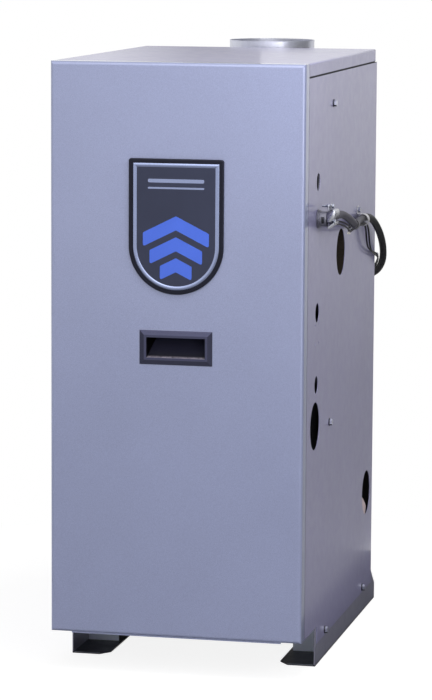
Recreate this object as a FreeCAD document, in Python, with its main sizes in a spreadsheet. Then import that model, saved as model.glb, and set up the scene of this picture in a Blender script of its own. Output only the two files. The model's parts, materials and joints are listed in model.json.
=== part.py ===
"""Floor-standing gas-fired hot water boiler, built as its separate pieces.

Millimetres. +Z is up, the front faces -Y, and the origin lies on the floor in the middle of the
footprint. Depths are measured rearwards from the front panel's face, which stands at -front_reach.
"""
import FreeCAD, Part
import Sketcher
import math
import os
import re

SIZES = {
    # Cabinet
    "cabinet_width": 416.0,
    "cabinet_top": 994.0,
    "panel_bottom": 66.0,
    "panel_sheet": 1.2,
    "bend_radius": 5.5,
    "front_reach": 411.0,
    "fit_clearance": 0.3,
    "press_clearance": 0.05,
    "cut_margin": 6.0,
    # Front panel
    "door_depth": 28.0,
    "door_seam": 1.0,
    "door_lip": 18.0,
    "door_hem_half_width": 174.0,
    "door_hem_drop": 2.5,
    "stud_radius": 3.0,
    "stud_nose_radius": 1.5,
    "stud_eye_radius": 6.0,
    "stud_length": 18.0,
    "stud_inset": 9.0,
    "stud_low_height": 170.0,
    "stud_high_height": 890.0,
    "spring_clip_side": 14.0,
    "spring_clip_length": 10.0,
    # Flush pull
    "pull_width": 119.5,
    "pull_height": 55.3,
    "pull_centre_height": 538.7,
    "pull_proud": 3.0,
    "pull_edge": 0.6,
    "pull_bevel": 7.5,
    "pull_mouth_width": 96.4,
    "pull_mouth_height": 32.7,
    "pull_wall": 2.0,
    "pull_depth": 36.0,
    "pull_finger_rise": 7.0,
    "pull_heel": 2.0,
    "pull_cheek": 11.5,
    # Badge
    "badge_width": 155.0,
    "badge_top": 841.6,
    "badge_bottom": 624.8,
    "badge_proud": 5.0,
    "badge_rim": 6.5,
    "badge_corner": 4.0,
    "badge_round": 2.4,
    "badge_face_proud": 3.4,
    # Top panel
    "lid_depth": 631.0,
    "lid_flange": 21.4,
    "lid_groove": 1.6,
    "lid_bend": 2.5,
    # Side panels
    "side_depth": 646.0,
    "side_flange": 18.0,
    "side_step_depth": 137.0,
    "side_tab_bottom": 37.0,
    "wiring_hole_radius": 14.3,
    "wiring_hole_depth": 112.0,
    "upper_wiring_height": 801.0,
    "lower_wiring_depth": 109.0,
    "lower_wiring_height": 471.5,
    "switch_hole_radius": 15.65,
    "switch_hole_height": 589.0,
    "plate_hole_radius": 2.0,
    "plate_hole_pitch_depth": 29.4,
    "plate_hole_pitch_height": 31.0,
    "plate_hole_height": 554.5,
    "pipe_hole_radius": 39.0,
    "supply_depth": 315.0,
    "supply_height": 668.0,
    "gas_depth": 100.5,
    "gas_height": 405.0,
    "return_depth": 585.0,
    "return_height": 212.0,
    # Foot rails
    "rail_sheet": 2.5,
    "rail_height": 90.0,
    "rail_flange": 62.0,
    "rail_front": 129.5,
    "rail_rear": 690.0,
    "rail_rear_height": 28.0,
    "rail_slope_start": 614.0,
    "rail_corner_across": 15.0,
    "rail_corner_along": 19.0,
    "gusset_depth": 223.0,
    "gusset_inset": 6.0,
    # Screws
    "screw_flats": 9.5,
    "screw_head": 4.4,
    "screw_washer_radius": 6.5,
    "screw_washer": 1.1,
    "screw_radius": 2.0,
    "screw_length": 8.0,
    "upper_screw_depth": 237.0,
    "upper_screw_height": 921.0,
    "middle_screw_depth": 226.0,
    "middle_screw_height": 393.0,
    "foot_screw_front": 205.0,
    "foot_screw_rear": 555.5,
    "foot_screw_height": 46.0,
    "rear_screw_inset": 11.0,
    "rear_screw_low": 150.0,
    "rear_screw_high": 930.0,
    # Base pan, rear panel and partition
    "pan_flange": 20.0,
    "rear_panel_inset": 2.5,
    "partition_depth": 222.0,
    "partition_bottom": 342.0,
    "partition_top": 962.0,
    "partition_flange": 24.0,
    "insulation_thickness": 20.0,
    "insulation_gap": 8.0,
    "insulation_hole_clearance": 2.0,
    # Cast-iron sections
    "section_thickness": 75.0,
    "section_front": 252.0,
    "section_rear": 612.0,
    "section_bottom": 330.0,
    "section_top": 790.0,
    "flueway_recess": 26.0,
    "flueway_margin": 55.0,
    "flueway_floor": 70.0,
    "nipple_radius": 22.0,
    "nipple_wall": 3.0,
    "nipple_length": 24.0,
    "nipple_depth": 280.0,
    "nipple_inset": 36.0,
    "tie_rod_radius": 5.0,
    "tie_rod_overhang": 18.0,
    "tie_rod_inset": 14.0,
    "tie_nut_flats": 17.0,
    "tie_nut_length": 9.0,
    "supply_boss_radius": 32.0,
    "supply_boss_length": 36.0,
    "water_thread_radius": 19.3,
    "water_thread_length": 25.0,
    # Return header
    "header_radius": 27.0,
    "header_end": 190.0,
    "header_left_end": 90.0,
    "header_leg_radius": 21.0,
    "header_leg_socket": 6.0,
    # Flue collector and draft hood
    "flue_sheet": 1.0,
    "collector_half_width": 146.0,
    "collector_height": 92.0,
    "duct_half_width": 86.0,
    "duct_height": 76.0,
    "duct_reach": 12.0,
    "duct_start_inset": 55.0,
    "hood_half_width": 125.0,
    "hood_rear": 827.0,
    "hood_bottom": 640.0,
    "hood_top": 955.0,
    "hood_tab": 16.0,
    "baffle_front": 662.0,
    "baffle_rear": 800.0,
    "baffle_high": 785.0,
    "baffle_low": 735.0,
    "collar_radius": 76.2,
    "collar_sheet": 0.8,
    "collar_depth": 737.0,
    "collar_height": 48.5,
    "collar_flange": 9.0,
    # Burner box and burners
    "burner_box_half_width": 158.0,
    "burner_box_front": 240.0,
    "burner_box_rear": 550.0,
    "burner_box_sheet": 2.0,
    "liner_thickness": 13.0,
    "burner_radius": 18.0,
    "burner_wall": 1.0,
    "burner_height": 200.0,
    "burner_front": 178.0,
    "burner_rear": 541.0,
    "burner_mouth_radius": 26.0,
    "burner_mouth_length": 28.0,
    "burner_slot_width": 1.6,
    "burner_slot_half_length": 9.0,
    "burner_slot_rise": 9.0,
    "burner_slot_pitch": 14.0,
    "burner_slot_first": 262.0,
    "access_half_width": 118.0,
    "access_bottom": 240.0,
    "access_top": 318.0,
    "access_lap": 10.0,
    "sight_hole_radius": 9.0,
    # Gas train
    "manifold_depth": 148.0,
    "manifold_radius": 13.4,
    "manifold_half_length": 130.0,
    "manifold_cap_wall": 2.5,
    "orifice_flats": 14.0,
    "orifice_hex": 7.0,
    "orifice_nose_radius": 4.5,
    "orifice_tip_radius": 2.2,
    "orifice_length": 24.0,
    "riser_radius": 10.7,
    "riser_across": 20.0,
    "elbow_radius": 17.0,
    "valve_left": 52.0,
    "valve_right": 150.0,
    "valve_depth_size": 62.0,
    "valve_height_size": 66.0,
    "valve_boss_radius": 17.0,
    "valve_boss_length": 10.0,
    "gas_thread_radius": 9.1,
    "gas_thread_length": 14.0,
    "knob_radius": 16.0,
    "knob_height": 15.0,
    "knob_grip": 6.0,
    "knob_grip_half_length": 14.4,
    "knob_stem_radius": 4.0,
    "knob_stem_length": 8.0,
    "pilot_across": 37.5,
    "pilot_radius": 5.0,
    "pilot_height": 30.0,
    "pilot_entry_rise": 10.0,
    "pilot_tube_radius": 3.2,
    "pilot_hole_clearance": 1.6,
    "pilot_setback": 17.0,
    "pilot_outlet_inset": 23.0,
    "pilot_tube_end": 22.0,
    # Reset switches
    "reset_body_radius": 13.0,
    "reset_body_length": 14.0,
    "reset_button_radius": 3.5,
    "reset_button_proud": 3.5,
    "reset_button_sunk": 4.0,
    "reset_well": 7.0,
    "rollout_across": -90.0,
    "rollout_height": 279.0,
    "spill_depth": 708.0,
    "spill_height": 666.0,
    "spill_thickness": 18.0,
    "spill_depth_size": 38.0,
    "spill_height_size": 34.0,
    # Controls
    "box_wall": 1.2,
    "junction_inner": 150.0,
    "junction_front": 58.0,
    "junction_rear": 162.0,
    "junction_bottom": 705.0,
    "junction_top": 835.0,
    "limit_inset": 43.0,
    "limit_width": 120.0,
    "limit_bottom": 650.0,
    "limit_top": 770.0,
    "limit_depth_size": 70.0,
    "dial_radius": 24.0,
    "dial_height": 13.0,
    "dial_grip": 5.0,
    "dial_grip_half_length": 21.6,
    "dial_shaft_radius": 4.0,
    "dial_shaft_length": 8.0,
    "module_inset": 43.0,
    "module_width": 125.0,
    "module_bottom": 480.0,
    "module_top": 580.0,
    "module_depth_size": 40.0,
    "transformer_left": 20.0,
    "transformer_right": 95.0,
    "transformer_bottom": 690.0,
    "transformer_top": 750.0,
    "transformer_depth_size": 55.0,
    "bobbin_rise": 9.6,
    "bobbin_inset": 14.4,
    "bobbin_setback": 4.8,
    # Cable connector
    "connector_depth": 107.0,
    "connector_height": 745.0,
    "connector_hole_radius": 11.1,
    "connector_hub_reach": 9.6,
    "connector_flange_radius": 14.4,
    "connector_flange": 3.0,
    "connector_neck_radius": 13.4,
    "connector_cable_out": 25.0,
    "connector_half_height": 12.5,
    "connector_front": 12.0,
    "connector_rear": 21.0,
    "connector_head_depth": 12.5,
    "connector_ear": 21.0,
    "connector_ear_base": 8.75,
    "connector_ear_face": 3.1,
    "connector_ear_half_depth": 6.0,
    "saddle_wall": 2.6,
    "clamp_screw_radius": 1.9,
    "clamp_screw_offset": 16.5,
    "clamp_screw_head_radius": 3.8,
    "clamp_screw_head": 2.8,
    "clamp_screw_reach": 26.5,
    "locknut_flats": 31.0,
    "locknut_length": 4.5,
    # Harness, leads and clip
    "harness_radius": 6.25,
    "lead_radius": 1.5,
    "clip_radius": 9.6,
    "clip_strap": 1.2,
    "clip_width": 12.0,
    "clip_depth": 467.0,
    "clip_centre_out": 10.0,
    "clip_centre_height": 708.5,
    "clip_screw_height": 725.2,
    "clip_screw_flats": 7.9,
    "clip_screw_head": 3.4,
    "clip_screw_washer_radius": 5.4,
    "clip_screw_washer": 1.0,
    "clip_tab_top": 732.0,
    "plug_across": 139.0,
    "plug_depth": 770.0,
    "plug_bottom": 640.0,
    "plug_length": 28.0,
    "plug_side": 20.0,
    "plug_rib_proud": 2.4,
    "plug_rib_half_width": 3.3,
    "plug_rib_start": 9.3,
    "plug_bracket_sheet": 1.5,
    "plug_bracket_width": 34.0,
    "plug_bracket_rise": 26.0,
}

# Routes of the harness and its leads, as (across, depth, height)
HARNESS_ROUTE = [
    (233, 108, 745), (233, 131, 745), (237, 165, 746), (242, 208, 734), (241.5, 255, 721.5),
    (234.5, 303, 712.6), (227, 350, 710.6), (219.5, 403, 711), (218, 452, 711.4), (218, 500, 710.8),
    (219, 547, 704), (220.5, 592, 687), (221.5, 633, 664), (220, 667, 638), (214.5, 694, 614.5),
    (202.5, 718, 596), (185, 737.5, 584), (165, 751.5, 585), (148.2, 763.4, 597.5), (139, 770, 617),
    (139, 770, 640),
]
UPPER_LEAD_ROUTE = [
    (231, 128, 735.5), (231, 150, 735.5), (238, 190, 729), (239, 236, 717), (228, 287, 711),
    (219.5, 338, 707.5), (213.5, 390, 706), (216, 440, 702.2), (216, 488, 702), (215.5, 512, 688),
    (214.5, 524, 667), (213.5, 546, 652), (212.5, 582, 643), (211.8, 622, 636.5), (210.5, 658, 630),
    (207.5, 687, 620.5), (197, 709, 603), (184, 722, 595), (165, 720, 595), (148, 712, 603),
    (138, 704, 617), (134, 702, 636), (134, 702, 649),
]
LOWER_LEAD_ROUTE = [
    (231, 128, 731), (231, 150, 731), (237.5, 188, 724.5), (238.5, 232, 712), (228.5, 283, 706),
    (221, 335, 702.5), (217.5, 388, 702), (220, 440, 702.2), (220, 490, 702), (219.5, 518, 686),
    (218.5, 531, 663), (217.5, 552, 647.5), (216, 588, 638), (214, 628, 630.5), (211.5, 662, 623),
    (206, 686, 613), (195, 706, 596), (180, 721, 588), (162, 726, 588), (147, 720, 598),
    (137, 713, 614), (134, 712, 634), (134, 712, 649),
]
# Bends of the pilot gas line, as shares of its way across, in depth and down from the valve to the pilot
PILOT_BENDS = [
    (0, 0, 0), (0.08, 0.09, 0.2), (0.24, 0.24, 0.39), (0.45, 0.42, 0.59), (0.72, 0.62, 0.79),
    (0.93, 0.82, 0.95), (1, 1, 1),
]

BURNER_PLACES = {"left_burner": -1, "centre_burner": 0, "right_burner": 1}

doc = FreeCAD.newDocument("HotWaterBoiler")
sheet = doc.addObject("Spreadsheet::Sheet", "Sizes")
for row, (size_name, size_value) in enumerate(SIZES.items(), 1):
    sheet.set("A%d" % row, size_name)
    sheet.set("B%d" % row, str(size_value))
    sheet.setAlias("B%d" % row, size_name)
doc.recompute()

NAME = re.compile(r"[a-z][a-z_]*")
SAME_PLACE = 1e-4
ARC_SHARE = 0.45
NODES = []


# Binding sizes to the sheet

def bound(text):
    """Turns each size's name in an expression into a reference to its cell."""
    def cell(found):
        word = found.group()
        return "Sizes." + word if word in SIZES else word
    return NAME.sub(cell, text)


def size(name):
    """Reads one size from the sheet, for shapes made with Part's own functions."""
    return float(getattr(sheet, name))


def behind(depth):
    """Turns a depth behind the front panel's face into a place along Y."""
    return "((%s) - front_reach)" % depth


def node(piece):
    """Marks a finished sub-part, whose label names its file."""
    NODES.append(piece)
    return piece


# Part primitives and booleans

def box(name, across, depth, height):
    """A block between pairs of planes across X, in depth and in height."""
    solid = doc.addObject("Part::Box", name)
    spans = (
        ("Length", "x", across[0], across[1]),
        ("Width", "y", behind(depth[0]), behind(depth[1])),
        ("Height", "z", height[0], height[1]),
    )
    for side, letter, low, high in spans:
        solid.setExpression(side, bound("(%s) - (%s)" % (high, low)))
        solid.setExpression("Placement.Base." + letter, bound(low))
    return solid


TURNS = {
    "x": FreeCAD.Rotation(FreeCAD.Vector(0, 1, 0), 90),
    "y": FreeCAD.Rotation(FreeCAD.Vector(1, 0, 0), -90),
    "z": FreeCAD.Rotation(),
}


def stand(solid, axis, centre, start):
    """Turns a round primitive onto an axis and puts its first end at start."""
    solid.Placement = FreeCAD.Placement(FreeCAD.Vector(), TURNS[axis])
    places = {
        "x": (start, behind(centre[0]), centre[1]),
        "y": (centre[0], behind(start), centre[1]),
        "z": (centre[0], behind(centre[1]), start),
    }[axis]
    for letter, place in zip("xyz", places):
        solid.setExpression("Placement.Base." + letter, bound(place))
    return solid


def rod(name, axis, centre, radius, span):
    """A cylinder along an axis; the centre is given on the other two, in X, depth, height order."""
    solid = doc.addObject("Part::Cylinder", name)
    solid.setExpression("Radius", bound(radius))
    solid.setExpression("Height", bound("(%s) - (%s)" % (span[1], span[0])))
    return stand(solid, axis, centre, span[0])


def taper(name, axis, centre, radii, span):
    """A cone between two radii along an axis."""
    solid = doc.addObject("Part::Cone", name)
    solid.setExpression("Radius1", bound(radii[0]))
    solid.setExpression("Radius2", bound(radii[1]))
    solid.setExpression("Height", bound("(%s) - (%s)" % (span[1], span[0])))
    return stand(solid, axis, centre, span[0])


def hexagon(name, axis, centre, flats, span):
    """A hexagonal bar along an axis, sized across its flats."""
    solid = doc.addObject("Part::Prism", name)
    solid.Polygon = 6
    solid.setExpression("Circumradius", bound("(%s) / sqrt(3)" % flats))
    solid.setExpression("Height", bound("(%s) - (%s)" % (span[1], span[0])))
    return stand(solid, axis, centre, span[0])


def ball(name, centre, radius):
    """A sphere at (across, depth, height)."""
    solid = doc.addObject("Part::Sphere", name)
    solid.setExpression("Radius", bound(radius))
    for letter, place in zip("xyz", (centre[0], behind(centre[1]), centre[2])):
        solid.setExpression("Placement.Base." + letter, bound(place))
    return solid


def join(name, pieces):
    """One solid from overlapping pieces."""
    whole = doc.addObject("Part::MultiFuse", name)
    whole.Shapes = pieces
    whole.Refine = True
    return whole


def together(name, pieces):
    """Separate solids that share one node or act as one tool."""
    whole = doc.addObject("Part::Compound", name)
    whole.Links = pieces
    return whole


def cut(name, base, tools):
    """The base less every tool."""
    whole = doc.addObject("Part::Cut", name)
    whole.Base = base
    whole.Tool = tools[0] if len(tools) == 1 else join(name + "_tools", tools)
    whole.Refine = True
    return whole


def mirrored(side, near, far):
    """A span across X on the right side, or its mirror image on the left."""
    return (near, far) if side > 0 else ("-(%s)" % far, "-(%s)" % near)


# PartDesign bodies

PLANE_ROLES = {"top": "XY_Plane", "front": "XZ_Plane", "side": "YZ_Plane"}


def new_body(name):
    return doc.addObject("PartDesign::Body", name)


def start_sketch(body, plane, level):
    """A sketch on the body's own plane, moved along the plane's normal to a level."""
    sketch = body.newObject("Sketcher::SketchObject", body.Name + "_sketch")
    roles = {feature.Role: feature for feature in body.Origin.OriginFeatures}
    sketch.AttachmentSupport = (roles[PLANE_ROLES[plane]], [""])
    sketch.MapMode = "FlatFace"
    lift = {"top": level, "front": "-" + behind(level), "side": level}[plane]
    sketch.setExpression("AttachmentOffset.Base.z", bound(lift))
    return sketch


def in_plane(plane, point):
    """A point's two expressions along the sketch's own axes."""
    first, second = point
    if plane == "top":
        return first, behind(second)
    if plane == "side":
        return behind(first), second
    return first, second


def pin_point(sketch, plane, geometry, end, point, guess):
    """Ties one sketch point to its two expressions."""
    for kind, text, value in zip(("DistanceX", "DistanceY"), in_plane(plane, point), guess):
        index = sketch.addConstraint(Sketcher.Constraint(kind, -1, 1, geometry, end, value))
        sketch.setExpression("Constraints[%d]" % index, bound(text))


def draw_polygon(sketch, plane, points):
    """A closed outline of straight sides."""
    count = len(points)
    turn = 2 * math.pi / count
    guesses = [FreeCAD.Vector(math.cos(i * turn), math.sin(i * turn), 0) for i in range(count)]
    lines = []
    for i in range(count):
        lines.append(sketch.addGeometry(Part.LineSegment(guesses[i], guesses[(i + 1) % count])))
    for i in range(count):
        following = lines[(i + 1) % count]
        sketch.addConstraint(Sketcher.Constraint("Coincident", lines[i], 2, following, 1))
    for line, point, guess in zip(lines, points, guesses):
        pin_point(sketch, plane, line, 1, point, (guess.x, guess.y))


def draw_circle(sketch, plane, centre, radius):
    up = FreeCAD.Vector(0, 0, 1)
    circle = sketch.addGeometry(Part.Circle(FreeCAD.Vector(1, 1, 0), up, 1))
    pin_point(sketch, plane, circle, 3, centre, (1, 1))
    index = sketch.addConstraint(Sketcher.Constraint("Radius", circle, 1))
    sketch.setExpression("Constraints[%d]" % index, bound(radius))


def draw_shield(sketch, plane, half_width, top, bottom):
    """A shield: straight top and sides over a half-round foot."""
    spring = "(%s) + (%s)" % (bottom, half_width)
    left = "-(%s)" % half_width
    corners = [(left, spring), (left, top), (half_width, top), (half_width, spring)]
    guesses = [FreeCAD.Vector(-1, 1, 0), FreeCAD.Vector(-1, 3, 0),
               FreeCAD.Vector(1, 3, 0), FreeCAD.Vector(1, 1, 0)]
    lines = [sketch.addGeometry(Part.LineSegment(a, b)) for a, b in zip(guesses, guesses[1:])]
    circle = Part.Circle(FreeCAD.Vector(0, 1, 0), FreeCAD.Vector(0, 0, 1), 1)
    foot = sketch.addGeometry(Part.ArcOfCircle(circle, math.pi, 2 * math.pi))
    for first, second in zip(lines, lines[1:]):
        sketch.addConstraint(Sketcher.Constraint("Coincident", first, 2, second, 1))
    sketch.addConstraint(Sketcher.Constraint("Coincident", lines[-1], 2, foot, 2))
    sketch.addConstraint(Sketcher.Constraint("Coincident", foot, 1, lines[0], 1))
    for line, corner, guess in zip(lines, corners, guesses):
        pin_point(sketch, plane, line, 1, corner, (guess.x, guess.y))
    pin_point(sketch, plane, lines[-1], 2, corners[-1], (guesses[-1].x, guesses[-1].y))
    index = sketch.addConstraint(Sketcher.Constraint("DistanceY", -1, 1, foot, 3, 1))
    sketch.setExpression("Constraints[%d]" % index, bound(spring))


def rectangle(first, second):
    """The corners of a rectangle between two pairs of expressions."""
    return [(first[0], second[0]), (first[1], second[0]), (first[1], second[1]), (first[0], second[1])]


def pad(body, plane, draw, span, taper_angle=None):
    """Adds material over a span along the plane's normal, tapered if an angle is given."""
    low, high = span
    sketch = start_sketch(body, plane, high if plane == "front" else low)
    draw(sketch, plane)
    feature = body.newObject("PartDesign::Pad", body.Name + "_pad")
    feature.Profile = sketch
    feature.setExpression("Length", bound("(%s) - (%s)" % (high, low)))
    if taper_angle:
        feature.setExpression("TaperAngle", bound(taper_angle))
    doc.recompute()
    return feature


def pocket(body, plane, draw, span):
    """Cuts material over a span along the plane's normal, and checks that it cut."""
    low, high = span
    before = body.Shape.Volume
    sketch = start_sketch(body, plane, low if plane == "front" else high)
    draw(sketch, plane)
    feature = body.newObject("PartDesign::Pocket", body.Name + "_pocket")
    feature.Profile = sketch
    feature.setExpression("Length", bound("(%s) - (%s)" % (high, low)))
    doc.recompute()
    if body.Shape.Volume >= before:
        raise RuntimeError("A pocket in %s cut nothing" % body.Label)
    return feature


def round_edges(body, feature, radius, wanted):
    """Rounds the edges of a feature that a test picks."""
    names = ["Edge%d" % (i + 1) for i, edge in enumerate(feature.Shape.Edges) if wanted(edge)]
    dressed = body.newObject("PartDesign::Fillet", body.Name + "_dressed")
    dressed.Base = (feature, names)
    dressed.setExpression("Radius", bound(radius))
    doc.recompute()
    return dressed


def polygon(points):
    return lambda sketch, plane: draw_polygon(sketch, plane, points)


def circles(centres, radius):
    def draw(sketch, plane):
        for centre in centres:
            draw_circle(sketch, plane, centre, radius)
    return draw


def shield(inset):
    """The badge's outline, drawn in from its edge by an inset."""
    def draw(sketch, plane):
        draw_shield(sketch, plane, "badge_width / 2 - (%s)" % inset, "badge_top - (%s)" % inset,
                    "badge_bottom + (%s)" % inset)
    return draw


def flat_at(edge, axis, place):
    """True for an edge that lies wholly in one plane square to an axis."""
    return all(abs(getattr(vertex.Point, axis) - place) < SAME_PLACE for vertex in edge.Vertexes)


HALF = "cabinet_width / 2"
INNER = "(cabinet_width / 2 - panel_sheet)"
FRAME_FRONT = "(door_depth + door_seam)"
LID_BOTTOM = "(cabinet_top - lid_flange)"
LID_UNDER = "(cabinet_top - panel_sheet)"
SIDE_TOP = "(cabinet_top - lid_flange - lid_groove)"
REAR_FACE = "(side_depth - panel_sheet)"
WEB_INNER = "(cabinet_width / 2 - panel_sheet - rail_sheet)"
SCREW_HOLE = "(screw_radius + fit_clearance)"
SIDE_SCREWS = [
    ("upper_screw_depth", "upper_screw_height"),
    ("middle_screw_depth", "middle_screw_height"),
]
FOOT_SCREWS = [
    ("foot_screw_front", "foot_screw_height"),
    ("foot_screw_rear", "foot_screw_height"),
]
REAR_SCREW_ACROSS = "(%s - rear_screw_inset)" % HALF
REAR_SCREW_HEIGHTS = ["rear_screw_low", "rear_screw_high"]
HOOD_TAB_ACROSS = "(hood_half_width + hood_tab / 2)"
HOOD_TAB_HEIGHTS = ["(hood_bottom + hood_tab)", "(hood_top - hood_tab)"]
STUD_HEIGHTS = ["stud_low_height", "stud_high_height"]
STUD_ACROSS = "(%s - stud_inset)" % INNER


# Front panel with its pull, badge and studs

def front_panel():
    body = new_body("front_panel")
    face = polygon(rectangle(("-" + HALF, HALF), ("panel_bottom", "cabinet_top")))
    pad(body, "front", face, ("0", "door_depth"))
    inside = polygon(rectangle(("-" + INNER, INNER), ("panel_bottom + panel_sheet", LID_UNDER)))
    shell = pocket(body, "front", inside, ("panel_sheet", "door_depth"))
    front = -size("front_reach")
    floor = front + size("panel_sheet")
    shell = round_edges(body, shell, "bend_radius - panel_sheet", lambda edge: flat_at(edge, "y", floor))
    round_edges(body, shell, "bend_radius", lambda edge: flat_at(edge, "y", front))
    for side in (-1, 1):
        lip = mirrored(side, "(%s - door_lip)" % INNER, "(%s - panel_sheet / 2)" % HALF)
        edge = ("panel_bottom + panel_sheet / 2", "cabinet_top - panel_sheet / 2")
        pad(body, "front", polygon(rectangle(lip, edge)), ("door_depth - panel_sheet", "door_depth"))
    hem = rectangle(("-door_hem_half_width", "door_hem_half_width"),
                    ("panel_bottom - door_hem_drop", "panel_bottom + panel_sheet / 2"))
    pad(body, "front", polygon(hem), ("bend_radius", "bend_radius + panel_sheet"))
    window = rectangle(("-(%s)" % TUB_HALF_WIDTH, TUB_HALF_WIDTH), (TUB_BOTTOM, TUB_TOP))
    pocket(body, "front", polygon(window), ("0", "panel_sheet"))
    return node(body)


PULL_LOW = "(pull_centre_height - pull_mouth_height / 2)"
PULL_HIGH = "(pull_centre_height + pull_mouth_height / 2)"
TUB_HALF_WIDTH = "(pull_mouth_width / 2 + pull_wall + fit_clearance)"
TUB_BOTTOM = "(%s - pull_wall - fit_clearance)" % PULL_LOW
TUB_TOP = "(%s + pull_finger_rise + pull_wall + fit_clearance)" % PULL_HIGH


def door_pull():
    """A flush pull: a bevelled bezel, and a scooped tub that slants up to a finger space."""
    body = new_body("door_pull")
    bezel = rectangle(("-pull_width / 2", "pull_width / 2"),
                      ("pull_centre_height - pull_height / 2", "pull_centre_height + pull_height / 2"))
    pad(body, "front", polygon(bezel), ("-pull_edge", "0"))
    pad(body, "front", polygon(bezel), ("-pull_proud", "-pull_edge"),
        "-atan(pull_bevel / (pull_proud - pull_edge))")
    tub = rectangle(("-(%s - fit_clearance)" % TUB_HALF_WIDTH, "(%s - fit_clearance)" % TUB_HALF_WIDTH),
                    ("%s + fit_clearance" % TUB_BOTTOM, "%s - fit_clearance" % TUB_TOP))
    pad(body, "front", polygon(tub), ("-pull_proud / 2", "pull_depth"))
    back = "(pull_depth - pull_wall)"
    cavity = [
        ("-pull_proud - cut_margin", PULL_LOW), ("pull_wall", PULL_LOW),
        (back, "%s + pull_heel" % PULL_HIGH),
        (back, "%s + pull_finger_rise" % PULL_HIGH), ("pull_wall", "%s + pull_finger_rise" % PULL_HIGH),
        ("pull_wall", PULL_HIGH), ("-pull_proud - cut_margin", PULL_HIGH),
    ]
    pocket(body, "side", polygon(cavity), ("-pull_mouth_width / 2", "pull_mouth_width / 2"))
    for side in (-1, 1):
        inner = "(%d) * pull_mouth_width / 2" % side
        outer = "%s + (%d) * pull_wall / 2" % (inner, side)
        cheek = [(outer, "pull_wall"), (outer, back), ("%s - (%d) * pull_cheek" % (inner, side), back),
                 (inner, "pull_wall")]
        pad(body, "top", polygon(cheek), ("%s - pull_wall / 2" % PULL_LOW,
                                          "%s + pull_finger_rise + pull_wall / 2" % PULL_HIGH))
    under = [
        ("pull_wall", TUB_BOTTOM), ("pull_depth + pull_wall", TUB_BOTTOM),
        ("pull_depth + pull_wall", "%s + pull_heel - pull_wall" % PULL_HIGH),
        ("pull_depth", "%s + pull_heel - pull_wall" % PULL_HIGH), ("pull_wall", "%s - pull_wall" % PULL_LOW),
    ]
    pocket(body, "side", polygon(under), ("-(%s)" % TUB_HALF_WIDTH, TUB_HALF_WIDTH))
    return node(body)


def badge_bezel():
    """A raised rounded rim round the badge's shield."""
    body = new_body("badge_bezel")
    plate = pad(body, "front", shield("0"), ("-badge_proud", "0"))
    corner = size("badge_top")
    plate = round_edges(body, plate, "badge_corner", lambda edge: (
        abs(edge.BoundBox.YLength - size("badge_proud")) < SAME_PLACE
        and abs(edge.BoundBox.ZMax - corner) < SAME_PLACE))
    front = -size("front_reach") - size("badge_proud")
    round_edges(body, plate, "badge_round", lambda edge: flat_at(edge, "y", front))
    pocket(body, "front", shield("badge_rim"), ("-badge_proud", "0"))
    return node(body)


def badge_face():
    """The plain shield plate inside the rim."""
    body = new_body("badge_face")
    pad(body, "front", shield("badge_rim + fit_clearance / 2"), ("-badge_face_proud", "0"))
    return node(body)


def panel_studs():
    """Four studs riveted in the front panel's lips."""
    studs = []
    for side in (-1, 1):
        for height in STUD_HEIGHTS:
            name = "stud_%d" % len(studs)
            centre = ("(%d) * %s" % (side, STUD_ACROSS), height)
            stem = rod(name + "_stem", "y", centre, "stud_radius",
                       ("door_depth", "door_depth + stud_length - stud_radius"))
            nose = taper(name + "_nose", "y", centre, ("stud_radius", "stud_nose_radius"),
                         ("door_depth + stud_length - stud_radius", "door_depth + stud_length"))
            studs.append(join(name, [stem, nose]))
    return node(together("panel_studs", studs))


def panel_clips():
    """Four spring clips behind the cabinet's front flanges, which grip the studs."""
    clips = []
    start = "(%s + panel_sheet)" % FRAME_FRONT
    for side in (-1, 1):
        for height in STUD_HEIGHTS:
            name = "clip_%d" % len(clips)
            middle = "(%d) * %s" % (side, STUD_ACROSS)
            block = box(name + "_block",
                        ("%s - spring_clip_side / 2" % middle, "%s + spring_clip_side / 2" % middle),
                        (start, "%s + spring_clip_length" % start),
                        ("%s - spring_clip_side / 2" % height, "%s + spring_clip_side / 2" % height))
            eye = rod(name + "_eye", "y", (middle, height), "stud_radius + fit_clearance",
                      (start, "%s + spring_clip_length" % start))
            clips.append(cut(name, block, [eye]))
    return node(together("panel_clips", clips))


# Cabinet panels

def top_panel():
    body = new_body("top_panel")
    plan = polygon(rectangle(("-" + HALF, HALF), (FRAME_FRONT, "lid_depth")))
    shell = pad(body, "top", plan, (LID_BOTTOM, "cabinet_top"))
    top = size("cabinet_top")
    round_edges(body, shell, "lid_bend", lambda edge: flat_at(edge, "z", top))
    inside = rectangle(("-" + INNER, INNER), ("%s + panel_sheet" % FRAME_FRONT, "lid_depth - panel_sheet"))
    pocket(body, "top", polygon(inside), (LID_BOTTOM, LID_UNDER))
    return node(body)


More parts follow.
